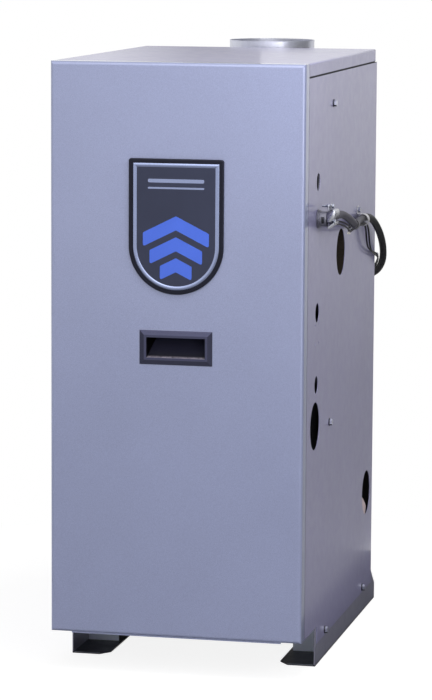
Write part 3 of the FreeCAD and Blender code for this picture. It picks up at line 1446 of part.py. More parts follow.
def connector_body():
    """A right-angle squeeze connector: a hub through the panel and a trough that turns rearwards."""
    place = ("connector_depth", "connector_height")
    hub = rod("connector_hub", "x", place, "connector_hole_radius - fit_clearance",
              ("%s - connector_hub_reach" % INNER, HALF))
    flange = rod("connector_ring", "x", place, "connector_flange_radius",
                 (HALF, "%s + connector_flange" % HALF))
    neck = rod("connector_neck", "x", place, "connector_neck_radius",
               (HALF, "%s - harness_radius" % CABLE_OUT))
    head = box("connector_head", ("%s - connector_head_depth" % CABLE_OUT, CABLE_OUT), CLAMP_DEPTHS,
               ("connector_height - connector_half_height", "connector_height + connector_half_height"))
    ears = box("connector_ears",
               ("%s - connector_ear_base" % CABLE_OUT, "%s - connector_ear_face" % CABLE_OUT),
               ("connector_depth - connector_ear_half_depth", "connector_depth + connector_ear_half_depth"),
               ("connector_height - connector_ear", "connector_height + connector_ear"))
    blank = join("connector_blank", [hub, flange, neck, head, ears])
    trough = rod("connector_trough", "y", (CABLE_OUT, "connector_height"), TROUGH, TROUGH_DEPTHS)
    holes = [rod("connector_hole_%d" % (side > 0), "x",
                 ("connector_depth", "connector_height + (%d) * clamp_screw_offset" % side),
                 "clamp_screw_radius + fit_clearance / 2",
                 ("%s - connector_head_depth" % CABLE_OUT, CABLE_OUT)) for side in (-1, 1)]
    return node(cut("connector_body", blank, [trough] + holes))


def connector_saddle():
    """The strap that presses the cables into the trough, with an ear for each clamp screw."""
    outer = "(%s + %s + saddle_wall)" % (CABLE_OUT, TROUGH)
    gap = "(%s + fit_clearance)" % CABLE_OUT
    arch = rod("saddle_arch", "y", (CABLE_OUT, "connector_height"), "%s + saddle_wall" % TROUGH,
               CLAMP_DEPTHS)
    ears = box("saddle_ears", (gap, "%s + saddle_wall" % gap),
               ("connector_depth - connector_ear_half_depth", "connector_depth + connector_ear_half_depth"),
               ("connector_height - connector_ear", "connector_height + connector_ear"))
    trough = rod("saddle_trough", "y", (CABLE_OUT, "connector_height"), TROUGH, TROUGH_DEPTHS)
    inner_half = box("saddle_inner_half",
                     ("%s - %s - saddle_wall - cut_margin" % (CABLE_OUT, TROUGH), gap), CLAMP_DEPTHS,
                     ("connector_height - connector_ear - cut_margin",
                      "connector_height + connector_ear + cut_margin"))
    holes = [rod("saddle_hole_%d" % (side > 0), "x",
                 ("connector_depth", "connector_height + (%d) * clamp_screw_offset" % side),
                 "clamp_screw_radius + fit_clearance / 2", (gap, outer)) for side in (-1, 1)]
    return node(cut("connector_saddle", join("saddle_blank", [arch, ears]), [trough, inner_half] + holes))


def connector_screws():
    """Two long clamp screws through the saddle's ears."""
    screws = []
    seat = "(%s + fit_clearance + saddle_wall)" % CABLE_OUT
    for side in (-1, 1):
        name = "clamp_screw_%d" % len(screws)
        place = ("connector_depth", "connector_height + (%d) * clamp_screw_offset" % side)
        head = rod(name + "_head", "x", place, "clamp_screw_head_radius",
                   (seat, "%s + clamp_screw_head" % seat))
        shank = rod(name + "_shank", "x", place, "clamp_screw_radius",
                    ("%s - clamp_screw_reach" % seat, seat))
        screws.append(join(name, [head, shank]))
    return node(together("connector_screws", screws))


def connector_locknut():
    """The nut on the connector's hub, inside the wiring box."""
    place = ("connector_depth", "connector_height")
    face = "(%s - box_wall)" % INNER
    span = ("%s - locknut_length" % face, face)
    blank = hexagon("locknut_blank", "x", place, "locknut_flats", span)
    bore = rod("locknut_bore", "x", place, "connector_hole_radius - fit_clearance / 2", span)
    return node(cut("connector_locknut", blank, [bore]))


# Cable clip, harness, leads and plug

CLIP_ACROSS = "(%s + clip_centre_out)" % HALF


def cable_clip():
    """A strap screwed to the side panel that hooks over the harness and its leads."""
    depth = ("clip_depth - clip_width / 2", "clip_depth + clip_width / 2")
    centre = (CLIP_ACROSS, "clip_centre_height")
    outer = "(clip_radius + clip_strap)"
    ring = rod("clip_ring", "y", centre, outer, depth)
    bore = rod("clip_bore", "y", centre, "clip_radius", depth)
    inboard = box("clip_inboard", ("%s - %s - cut_margin" % (CLIP_ACROSS, outer), CLIP_ACROSS), depth,
                  ("clip_centre_height - %s - cut_margin" % outer,
                   "clip_centre_height + %s + cut_margin" % outer))
    hook = cut("clip_hook", ring, [bore, inboard])
    bridge = box("clip_bridge", (HALF, CLIP_ACROSS), depth,
                 ("clip_centre_height + clip_radius", "clip_centre_height + %s" % outer))
    tab = box("clip_tab", (HALF, "%s + clip_strap" % HALF), depth,
              ("clip_centre_height + clip_radius", "clip_tab_top"))
    eye = rod("clip_eye", "x", ("clip_depth", "clip_screw_height"), SCREW_HOLE,
              (HALF, "%s + clip_strap" % HALF))
    return node(cut("cable_clip", join("clip_blank", [hook, bridge, tab]), [eye]))


def clip_screw():
    face = "(%s + clip_strap)" % HALF
    return node(screw("clip_screw", "x", ("clip_depth", "clip_screw_height"), face, 1, "clip_screw"))


def rounded_path(points):
    """Straight runs joined by tangent arcs, each as large as its shorter run allows."""
    edges = []
    radii = []
    start = points[0]
    for before, corner, after in zip(points, points[1:], points[2:]):
        back = before - corner
        ahead = after - corner
        turn = math.pi - back.getAngle(ahead)
        trim = ARC_SHARE * min(back.Length, ahead.Length)
        radii.append(trim / math.tan(turn / 2))
        back.normalize()
        ahead.normalize()
        inward = back + ahead
        inward.normalize()
        centre_distance = math.hypot(trim, radii[-1])
        first = corner + back * trim
        second = corner + ahead * trim
        middle = corner + inward * (centre_distance - radii[-1])
        edges.append(Part.LineSegment(start, first).toShape())
        edges.append(Part.Arc(first, middle, second).toShape())
        start = second
    edges.append(Part.LineSegment(start, points[-1]).toShape())
    return Part.Wire(edges), radii


def routed_tube(name, route, radius):
    """A round tube along a route of points, with its volume compared to section times length."""
    points = [FreeCAD.Vector(x, depth - size("front_reach"), z) for x, depth, z in route]
    path, radii = rounded_path(points)
    circle = Part.Circle(points[0], points[1] - points[0], radius)
    tube = path.makePipeShell([Part.Wire(circle.toShape())], True, False)
    expected = math.pi * radius ** 2 * path.Length
    print("%s: length %.1f, volume ratio %.4f, least radius %.1f, radii %s" % (
        name, path.Length, tube.Volume / expected, min(radii), [round(r) for r in radii]))
    piece = doc.addObject("Part::Feature", name)
    piece.Shape = tube
    piece.Placement = FreeCAD.Placement()
    return node(piece)


def harness_plug():
    """The harness's plug, parked under the bracket on the hood."""
    half = "plug_side / 2"
    block = box("plug_block", ("plug_across - %s" % half, "plug_across + %s" % half),
                ("plug_depth - %s" % half, "plug_depth + %s" % half),
                ("plug_bottom", "plug_bottom + plug_length"))
    rib = box("plug_rib", ("plug_across + %s" % half, "plug_across + %s + plug_rib_proud" % half),
              ("plug_depth - plug_rib_half_width", "plug_depth + plug_rib_half_width"),
              ("plug_bottom + plug_rib_start", "plug_bottom + plug_length"))
    return node(join("harness_plug", [block, rib]))


def plug_bracket():
    """A small angle on the hood's wall that the plug parks under."""
    shelf = "(plug_bottom + plug_length)"
    depth = ("plug_depth - plug_bracket_width / 2", "plug_depth + plug_bracket_width / 2")
    wall = "(hood_half_width - flue_sheet / 2)"
    leaf = box("bracket_leaf", (wall, "hood_half_width + plug_bracket_sheet"), depth,
               (shelf, "%s + plug_bracket_rise" % shelf))
    ledge = box("bracket_ledge", (wall, "plug_across + plug_side / 2"), depth,
                (shelf, "%s + plug_bracket_sheet" % shelf))
    return join("plug_bracket", [leaf, ledge])


# The whole boiler

front_panel()
door_pull()
badge_bezel()
badge_face()
panel_studs()
panel_clips()
top_panel()
side_panel(-1, "left_side_panel")
side_panel(1, "right_side_panel")
rear_panel()
base_pan()
partition()
side_insulation()
foot_rail(-1, "left_foot_rail")
foot_rail(1, "right_foot_rail")
cabinet_screws()
for section_index, section_name in enumerate(SECTION_NAMES):
    cast_section(section_index, section_name)
push_nipples()
tie_rods()
return_header()
flue_collector()
draft_hood()
draft_hood_baffle()
flue_collar()
burner_box()
base_liner()
for burner_name, burner_place in BURNER_PLACES.items():
    burner(burner_name, burner_place)
burner_access_panel()
gas_manifold()
gas_orifices()
manifold_riser()
gas_valve()
gas_valve_knob()
pilot_burner()
routed_tube("pilot_tube", pilot_route(), size("pilot_tube_radius"))
rollout_switch()
rollout_reset_button()
spill_switch()
spill_reset_button()
junction_box()
junction_cover()
limit_control()
limit_dial()
ignition_module()
transformer()
connector_body()
connector_saddle()
connector_screws()
connector_locknut()
cable_clip()
clip_screw()
routed_tube("damper_harness", HARNESS_ROUTE, size("harness_radius"))
routed_tube("upper_lead", UPPER_LEAD_ROUTE, size("lead_radius"))
routed_tube("lower_lead", LOWER_LEAD_ROUTE, size("lead_radius"))
harness_plug()

doc.recompute()
for item in doc.Objects:
    if "Invalid" in item.State or "Error" in item.State:
        raise RuntimeError("%s did not build: %s" % (item.Label, item.State))
for piece in NODES:
    if piece.Shape.isNull() or not piece.Shape.isValid() or not piece.Shape.Solids:
        raise RuntimeError("%s has no valid solid" % piece.Label)

os.makedirs("parts", exist_ok=True)
for piece in NODES:
    piece.Shape.exportStep(os.path.join("parts", piece.Label + ".step"))
print("%d sub-parts written" % len(NODES))
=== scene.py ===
"""Visual model of a floor-standing hot water boiler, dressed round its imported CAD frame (metres)."""
import json
import math

import bmesh
import bpy
from mathutils import Matrix, Vector
from mathutils.geometry import convex_hull_2d


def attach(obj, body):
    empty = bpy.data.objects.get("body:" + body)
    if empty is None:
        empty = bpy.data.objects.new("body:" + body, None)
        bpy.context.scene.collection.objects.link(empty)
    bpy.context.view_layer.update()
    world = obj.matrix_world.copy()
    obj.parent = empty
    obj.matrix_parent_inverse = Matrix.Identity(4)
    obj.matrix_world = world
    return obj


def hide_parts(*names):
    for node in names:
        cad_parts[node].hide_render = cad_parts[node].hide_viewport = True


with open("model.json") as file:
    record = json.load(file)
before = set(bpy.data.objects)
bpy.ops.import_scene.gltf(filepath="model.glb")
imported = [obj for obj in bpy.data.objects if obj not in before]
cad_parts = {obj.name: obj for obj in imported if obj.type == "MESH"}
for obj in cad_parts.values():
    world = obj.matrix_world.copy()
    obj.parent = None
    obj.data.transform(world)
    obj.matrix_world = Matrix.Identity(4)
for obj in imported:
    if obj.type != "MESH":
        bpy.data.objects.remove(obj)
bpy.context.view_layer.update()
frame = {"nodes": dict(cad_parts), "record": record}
NODES = frame["nodes"]
SCENE = bpy.context.scene

# Camera: place in metres, turns in degrees, sensor and lens in millimetres
CAMERA_PLACE = (1.1817, -5.3574, 1.2225)
CAMERA_YAW = 12.7126
CAMERA_PITCH = -7.6882
CAMERA_ROLL = -0.3295
CAMERA_SENSOR = 36.0
CAMERA_LENS = 165.0

# Cord routes, the same points as the CAD tubes
HARNESS_ROUTE = [
    (0.233, -0.303, 0.745), (0.233, -0.28, 0.745), (0.237, -0.246, 0.746), (0.242, -0.203, 0.734),
    (0.2415, -0.156, 0.7215), (0.2345, -0.108, 0.7126), (0.227, -0.061, 0.7106),
    (0.2195, -0.008, 0.711), (0.218, 0.041, 0.7114), (0.218, 0.089, 0.7108), (0.219, 0.136, 0.704),
    (0.2205, 0.181, 0.687), (0.2215, 0.222, 0.664), (0.22, 0.256, 0.638), (0.2145, 0.283, 0.6145),
    (0.2025, 0.307, 0.596), (0.185, 0.3265, 0.584), (0.165, 0.3405, 0.585), (0.1482, 0.3524, 0.5975),
    (0.139, 0.359, 0.617), (0.139, 0.359, 0.64),
]
UPPER_LEAD_ROUTE = [
    (0.231, -0.283, 0.7355), (0.231, -0.261, 0.7355), (0.238, -0.221, 0.729), (0.239, -0.175, 0.717),
    (0.228, -0.124, 0.711), (0.2195, -0.073, 0.7075), (0.2135, -0.021, 0.706), (0.216, 0.029, 0.7022),
    (0.216, 0.077, 0.702), (0.2155, 0.101, 0.688), (0.2145, 0.113, 0.667), (0.2135, 0.135, 0.652),
    (0.2125, 0.171, 0.643), (0.2118, 0.211, 0.6365), (0.2105, 0.247, 0.63), (0.2075, 0.276, 0.6205),
    (0.197, 0.298, 0.603), (0.184, 0.311, 0.595), (0.165, 0.309, 0.595), (0.148, 0.301, 0.603),
    (0.138, 0.293, 0.617), (0.134, 0.291, 0.636), (0.134, 0.291, 0.649),
]
LOWER_LEAD_ROUTE = [
    (0.231, -0.283, 0.731), (0.231, -0.261, 0.731), (0.2375, -0.223, 0.7245), (0.2385, -0.179, 0.712),
    (0.2285, -0.128, 0.706), (0.221, -0.076, 0.7025), (0.2175, -0.023, 0.702), (0.22, 0.029, 0.7022),
    (0.22, 0.079, 0.702), (0.2195, 0.107, 0.686), (0.2185, 0.12, 0.663), (0.2175, 0.141, 0.6475),
    (0.216, 0.177, 0.638), (0.214, 0.217, 0.6305), (0.2115, 0.251, 0.623), (0.206, 0.275, 0.613),
    (0.195, 0.295, 0.596), (0.18, 0.31, 0.588), (0.162, 0.315, 0.588), (0.147, 0.309, 0.598),
    (0.137, 0.302, 0.614), (0.134, 0.301, 0.634), (0.134, 0.301, 0.649),
]
HARNESS_DIAMETER = 0.0125
LEAD_DIAMETER = 0.003


# Shader helpers

WHITE = (1.0, 1.0, 1.0, 1.0)
NOISE_MIDDLE = (0.3, 0.7)


def tone(red, green, blue):
    """A linear colour from display values of 0 to 255."""
    linear = []
    for value in (red, green, blue):
        share = value / 255
        linear.append(share / 12.92 if share <= 0.04045 else ((share + 0.055) / 1.055) ** 2.4)
    return (*linear, 1.0)


class Shading:
    """A node tree, with the kinds of node that the materials and the stage share."""

    def __init__(self, tree):
        self.tree = tree

    def feed(self, socket, value):
        """Link another node's output to a socket, or set the socket to a fixed value."""
        if isinstance(value, bpy.types.NodeSocket):
            self.tree.links.new(value, socket)
        else:
            socket.default_value = value

    def node(self, kind, inputs=None, **settings):
        """The outputs of a new node, whose inputs are fed by name or number."""
        node = self.tree.nodes.new("ShaderNode" + kind)
        for name, value in settings.items():
            setattr(node, name, value)
        for key, value in (inputs or {}).items():
            self.feed(node.inputs[key], value)
        return node.outputs

    def spread(self, source, low, high, to_low=0.0, to_high=1.0):
        """A value mapped from one range to another, clamped."""
        inputs = {"Value": source, "From Min": low, "From Max": high, "To Min": to_low, "To Max": to_high}
        return self.node("MapRange", inputs)["Result"]

    def combine(self, operation, first, second):
        return self.node("Math", {0: first, 1: second}, operation=operation)[0]

    def times(self, first, second):
        return self.combine("MULTIPLY", first, second)

    def most(self, first, second):
        return self.combine("MAXIMUM", first, second)

    def component(self, vector, letter):
        return self.node("SeparateXYZ", {0: vector})[letter]


class Finish(Shading):
    """A procedural material round one Principled shader, textured in object coordinates."""

    def __init__(self, name, colour, roughness, metallic=0.0, coat=0.0, coat_roughness=0.1, specular=0.5):
        self.name = name
        self.colour = colour
        self.material = bpy.data.materials.new(name)
        self.material.use_nodes = True
        super().__init__(self.material.node_tree)
        self.place = self.node("TexCoord")["Object"]
        self.set("Base Color", colour)
        self.set("Roughness", roughness)
        self.set("Metallic", metallic)
        self.set("Coat Weight", coat)
        self.set("Coat Roughness", coat_roughness)
        self.set("Specular IOR Level", specular)

    def set(self, socket, value):
        self.feed(self.tree.nodes["Principled BSDF"].inputs[socket], value)

    def noise(self, scale, detail=2.0, roughness=0.5, stretch=None):
        """Noise in object coordinates, stretched for brushed or drawn textures."""
        place = self.place
        if stretch:
            place = self.node("Mapping", {"Vector": place, "Scale": stretch})["Vector"]
        inputs = {"Vector": place, "Scale": scale, "Detail": detail, "Roughness": roughness}
        return self.node("TexNoise", inputs)["Fac"]

    def crystals(self, scale):
        return self.node("TexVoronoi", {"Vector": self.place, "Scale": scale})["Color"]

    def along(self, letter, low, high, to_low=0.0, to_high=1.0):
        """A ramp along one axis of the object."""
        return self.spread(self.component(self.place, letter), low, high, to_low, to_high)

    def aside(self, low, high):
        """A ramp on the distance to either side of the object's middle."""
        return self.spread(self.combine("ABSOLUTE", self.component(self.place, "X"), 0.0), low, high)

    def facing(self, letter, low, high):
        """A ramp on how far the surface faces along one world axis."""
        normal = self.node("NewGeometry")["Normal"]
        return self.spread(self.component(normal, letter), low, high)

    def blend(self, factor, first, second):
        """A mix of two colours, each a fixed colour or another node's output."""
        return self.node("Mix", {"Factor": factor, 6: first, 7: second}, data_type="RGBA")[2]

    def weigh(self, first, second, share=0.5):
        """Two values added, the first by its share and the second by the rest."""
        return self.combine("ADD", self.times(first, share), self.times(second, 1 - share))

    def scaled(self, share):
        """The finish's own colour, made darker or paler."""
        return tuple(channel * share for channel in self.colour[:3]) + (1.0,)

    def mottle(self, level, low, high):
        """The finish's own colour, scaled from one share to another as a value rises."""
        return self.blend(level, self.scaled(low), self.scaled(high))

    def paint(self, colour):
        self.set("Base Color", colour)

    def gloss(self, factor, low, high):
        self.set("Roughness", self.spread(factor, *NOISE_MIDDLE, low, high))

    def fade(self, socket, factor, full):
        """Let a socket fall from its full value to nought as a factor rises."""
        self.set(socket, self.spread(factor, 0.0, 1.0, full, 0.0))

    def relief(self, height, strength, distance):
        inputs = {"Height": height, "Strength": strength, "Distance": distance}
        self.set("Normal", self.node("Bump", inputs)["Normal"])


# Finishes; the ramps below give the places (metres) or facings where a finish changes

ENAMEL_SPECULAR = 0.3
# Painted shade: the groove under the lid and the cabinet's front edge behind the door are painted near black
GROOVE_FOOT = (0.9701, 0.9706)
GROOVE_HEAD = (0.9738, 0.9732)
DOOR_EDGE = (-0.3775, -0.3815)
DOOR_EDGE_FACING = (-0.6, -0.2)
DOOR_EDGE_SHADE = 0.85
RAIL_COAT = 0.3
RAIL_METALLIC = 0.35
RAIL_FRONT_FACING = (-0.6, -0.9)
RAIL_TOP_FACING = (0.6, 0.9)
RAIL_TOP = (0.02, 0.01)
RAIL_WEAR = (0.0035, 0.0015)
GUSSET_ASIDE = (0.204, 0.203)
# Painted light on the gussets' front faces; painted shade with dust specks on the flanges' tops
GUSSET_LIGHT_TONES = (tone(220, 230, 255), tone(236, 243, 255))
SHADE_AND_DUST_TONES = (tone(12, 12, 16), tone(70, 70, 78))
WORN_TONE = tone(40, 40, 50)
# Painted light and shade in the pull: paler top bevel, painted highlight on the front rim, near-black depth,
# incline paler further in
PULL_LIT_BEVEL_FACING = (0.05, 0.35)
PULL_RIM_HIGHLIGHT_FACING = (-0.93, -0.98)
PULL_SCOOP_FACING = (0.3, 0.6)
PULL_LEDGE_FACING = (0.55, 0.65)
PULL_BEZEL = (-0.4118, -0.409)
PULL_SLOPE = (-0.409, -0.38)
PULL_LEDGE = (-0.4064, -0.409)
PULL_SLOPE_LIGHT_TONES = (tone(15, 15, 24), tone(58, 58, 80))
PULL_SHADE_TONE = tone(5, 5, 8)
PULL_DUST_TONE = tone(158, 151, 166)
# Painted shade on the side screws' washers and on undersides
WASHER_ASIDE = (0.2102, 0.2092)
WASHER_REACH = (0.2325, 0.2315)
UNDERSIDE_FACING = (-0.2, -0.6)
ZINC_ROUGHNESS = 0.3
ZINC_METALLIC = 0.85
SPANGLE = 130
# Painted shade: inside faces towards the front, near the partition's sides and further back, are painted near
# black
INNER_SHADE_FACING = (-0.4, -0.7)
INNER_SHADE_ASIDE = (0.15, 0.19)
INNER_SHADE_HEIGHT = (0.68, 0.6)
INNER_SHADE_BEHIND = (0.0, 0.1)
INNER_SHADE_TONES = (tone(14, 13, 14), tone(30, 28, 29))
RUST_TONE = tone(104, 66, 44)
SCUFF_TONE = tone(128, 128, 134)


def flakes(finish):
    """Fine glints of silver flake in an enamel."""
    return finish.spread(finish.noise(1500, 1.0), 0.32, 0.68)


def orange_peel(finish):
    """The faint unevenness of a sprayed enamel."""
    finish.relief(finish.noise(420, 1.0), 0.05, 0.0006)


def metallic_paint(name, colour, flake=0.14, coat=0.5, coat_roughness=0.13, seams=False):
    """Silver-flake enamel with faint cloudy variation, with painted shade in the cabinet's seams where asked.
    """
    finish = Finish(name, colour, 0.4, metallic=0.4, coat=coat, coat_roughness=coat_roughness,
                    specular=ENAMEL_SPECULAR)
    level = finish.weigh(flakes(finish), finish.spread(finish.noise(5, 3.0), *NOISE_MIDDLE), 0.8)
    shade = finish.mottle(level, 1 - flake, 1 + flake)
    if seams:
        # the seam and the door edge are painted near black as painted shade
        seam_shade = painted_seam_shade(finish)
        shade = finish.blend(seam_shade, shade, finish.scaled(0.04))
        finish.fade("Coat Weight", seam_shade, coat)
        finish.fade("Specular IOR Level", seam_shade, ENAMEL_SPECULAR)
    finish.paint(shade)
    finish.gloss(finish.noise(60, 2.0), 0.36, 0.44)
    orange_peel(finish)
    return finish


def painted_seam_shade(finish):
    """Painted shade in the groove under the lid and along the front edge behind the door."""
    groove = finish.times(finish.along("Z", *GROOVE_FOOT), finish.along("Z", *GROOVE_HEAD))
    edge = finish.times(finish.along("Y", *DOOR_EDGE, 0.0, DOOR_EDGE_SHADE),
                        finish.facing("Y", *DOOR_EDGE_FACING))
    return finish.most(groove, edge)


def rail_paint(name, colour):
    """Cabinet enamel on the feet: the gussets' front faces painted pale as painted light, the flanges' tops
    near black as painted shade with dust specks, worn at the floor.
    """
    finish = Finish(name, colour, 0.42, metallic=RAIL_METALLIC, coat=RAIL_COAT, coat_roughness=0.15,
                    specular=ENAMEL_SPECULAR)
    smears = finish.noise(38, 4.0, 0.6)
    shade = finish.mottle(flakes(finish), 0.85, 1.15)
    # the gussets' front faces are painted pale as painted light
    painted_gusset_light = finish.times(finish.facing("Y", *RAIL_FRONT_FACING), finish.aside(*GUSSET_ASIDE))
    shade = finish.blend(painted_gusset_light, shade, finish.blend(smears, *GUSSET_LIGHT_TONES))
    # the flanges' tops are painted near black as painted shade, with pale specks of dust
    shade_mask = finish.times(finish.facing("Z", *RAIL_TOP_FACING), finish.along("Z", *RAIL_TOP))
    specks = finish.spread(finish.noise(260, 4.0, 0.7), 0.62, 0.72)
    shade = finish.blend(shade_mask, shade, finish.blend(specks, *SHADE_AND_DUST_TONES))
    worn = finish.along("Z", *RAIL_WEAR)
    finish.paint(finish.blend(worn, shade, WORN_TONE))
    dull = finish.most(shade_mask, worn)
    finish.fade("Coat Weight", dull, RAIL_COAT)
    finish.fade("Metallic", dull, RAIL_METALLIC)
    finish.gloss(smears, 0.38, 0.5)
    orange_peel(finish)
    return finish


def pull_plastic(name):
    """Glossy dark plastic with painted light and shade: the top bevel and the front rim paler, the lower
    bevels and the depth near black, the incline paler further in against its shade, and dust on the ledge.
    """
    finish = Finish(name, tone(56, 57, 76), 0.34, specular=0.12)
    grain = finish.noise(700, 3.0)
    # the top bevel painted paler and the lower bevels darker by their facing, the front rim paler as a
    # painted highlight
    lit_bezel = finish.mottle(finish.facing("Z", *PULL_LIT_BEVEL_FACING), 0.22, 3.6)
    lit_bezel = finish.blend(finish.facing("Y", *PULL_RIM_HIGHLIGHT_FACING), lit_bezel, finish.scaled(1.7))
    lit_bezel = finish.blend(grain, lit_bezel, finish.blend(0.25, lit_bezel, finish.scaled(1.3)))
    # the incline painted paler further in as painted light against its shade; the walls near black as painted
    # shade
    lit_slope = finish.blend(finish.along("Y", *PULL_SLOPE), *PULL_SLOPE_LIGHT_TONES)
    shaded_scoop = finish.blend(finish.facing("Z", *PULL_SCOOP_FACING), PULL_SHADE_TONE, lit_slope)
    shade = finish.blend(finish.along("Y", *PULL_BEZEL), lit_bezel, shaded_scoop)
    ledge = finish.times(finish.facing("Z", *PULL_LEDGE_FACING), finish.along("Y", *PULL_LEDGE))
    dust = finish.times(ledge, finish.spread(finish.noise(130, 5.0, 0.7), 0.38, 0.62, 0.3, 0.95))
    finish.paint(finish.blend(dust, shade, PULL_DUST_TONE))
    finish.gloss(grain, 0.3, 0.42)
    finish.relief(grain, 0.08, 0.0003)
    return finish


def bare_metal(name, colour, roughness, scale=180, stretch=None, depth=0.0002, contrast=0.15,
               shaded_washers=False):
    """Plated or machined metal with fine uneven polish, with painted shade on the side screws' washers and on
    undersides where asked.
    """
    finish = Finish(name, colour, roughness, metallic=1.0)
    grain = finish.noise(scale, 4.0, 0.6, stretch)
    shade = finish.mottle(finish.spread(grain, *NOISE_MIDDLE), 1 - contrast, 1 + contrast)
    if shaded_washers:
        # the washers and the undersides are painted near black as painted shade
        washer = finish.times(finish.aside(*WASHER_ASIDE), finish.along("Y", *WASHER_REACH))
        shade_mask = finish.most(washer, finish.facing("Z", *UNDERSIDE_FACING))
        shade = finish.blend(shade_mask, shade, finish.scaled(0.1))
    finish.paint(shade)
    finish.gloss(grain, roughness * 0.75, roughness * 1.3)
    finish.relief(grain, 0.15, depth)
    return finish


def moulded_plastic(name, colour, roughness, grain_scale=900, contrast=0.12, specular=0.3):
    """Moulded plastic with a fine spark-eroded grain."""
    finish = Finish(name, colour, roughness, specular=specular)
    grain = finish.noise(grain_scale, 2.0)
    clouds = finish.noise(25, 3.0)
    level = finish.spread(finish.weigh(grain, clouds), 0.35, 0.65)
    finish.paint(finish.mottle(level, 1 - contrast, 1 + contrast))
    finish.gloss(clouds, roughness * 0.9, roughness * 1.15)
    finish.relief(grain, 0.12, 0.0003)
    return finish


def galvanised_sheet(name, colour, inner_shade=False):
    """Zinc-dipped sheet with crystal spangle and dull streaks, with painted shade inside the cabinet where
    asked.
    """
    finish = Finish(name, colour, ZINC_ROUGHNESS, metallic=ZINC_METALLIC)
    streaks = finish.noise(14, 4.0, 0.6)
    level = finish.weigh(finish.spread(finish.crystals(SPANGLE), 0.1, 0.9), streaks, 0.6)
    shade = finish.mottle(finish.spread(level, 0.2, 0.8), 0.97, 1.06)
    if inner_shade:
        # the inside faces are painted near black as painted shade
        corner = finish.times(finish.aside(*INNER_SHADE_ASIDE), finish.along("Z", *INNER_SHADE_HEIGHT))
        inside = finish.most(corner, finish.along("Y", *INNER_SHADE_BEHIND))
        inner_shade_mask = finish.times(finish.facing("Y", *INNER_SHADE_FACING), inside)
        shade = finish.blend(inner_shade_mask, shade, finish.blend(streaks, *INNER_SHADE_TONES))
        finish.fade("Metallic", inner_shade_mask, ZINC_METALLIC)
    finish.paint(shade)
    finish.gloss(level, ZINC_ROUGHNESS * 0.96, ZINC_ROUGHNESS * 1.06)
    finish.relief(streaks, 0.03, 0.0008)
    return finish


def cast_iron(name, colour):
    """Sand-cast iron with a pebbled skin and rust freckles."""
    finish = Finish(name, colour, 0.7, metallic=0.25)
    sand = finish.noise(520, 5.0, 0.65)
    rust = finish.spread(finish.noise(34, 5.0, 0.7), 0.56, 0.72, 0.0, 0.55)
    skin = finish.mottle(finish.spread(sand, *NOISE_MIDDLE), 0.65, 1.3)
    finish.paint(finish.blend(rust, skin, RUST_TONE))
    finish.gloss(sand, 0.6, 0.85)
    finish.relief(sand, 0.5, 0.0012)
    return finish


def fibre_board(name, colour):
    """Matted fibre: soft, dull and uneven."""
    finish = Finish(name, colour, 0.95, specular=0.1)
    fibres = finish.noise(700, 6.0, 0.7, (1.0, 0.25, 0.6))
    level = finish.weigh(fibres, finish.noise(45, 4.0))
    finish.paint(finish.mottle(finish.spread(level, 0.36, 0.64), 0.72, 1.2))
    finish.relief(level, 0.6, 0.003)
    return finish


def cord_sheath(name, near, far, start, end, roughness):
    """Sleeving that goes from one shade to another along its run."""
    finish = Finish(name, far, roughness, specular=0.14)
    scuffs = finish.noise(320, 3.0, 0.6)
    shade = finish.blend(finish.along("Y", start, end), near, far)
    finish.paint(finish.blend(finish.spread(scuffs, 0.4, 0.8, 0.0, 0.2), shade, SCUFF_TONE))
    finish.gloss(scuffs, roughness * 0.85, roughness * 1.2)
    finish.relief(scuffs, 0.15, 0.0004)
    return finish


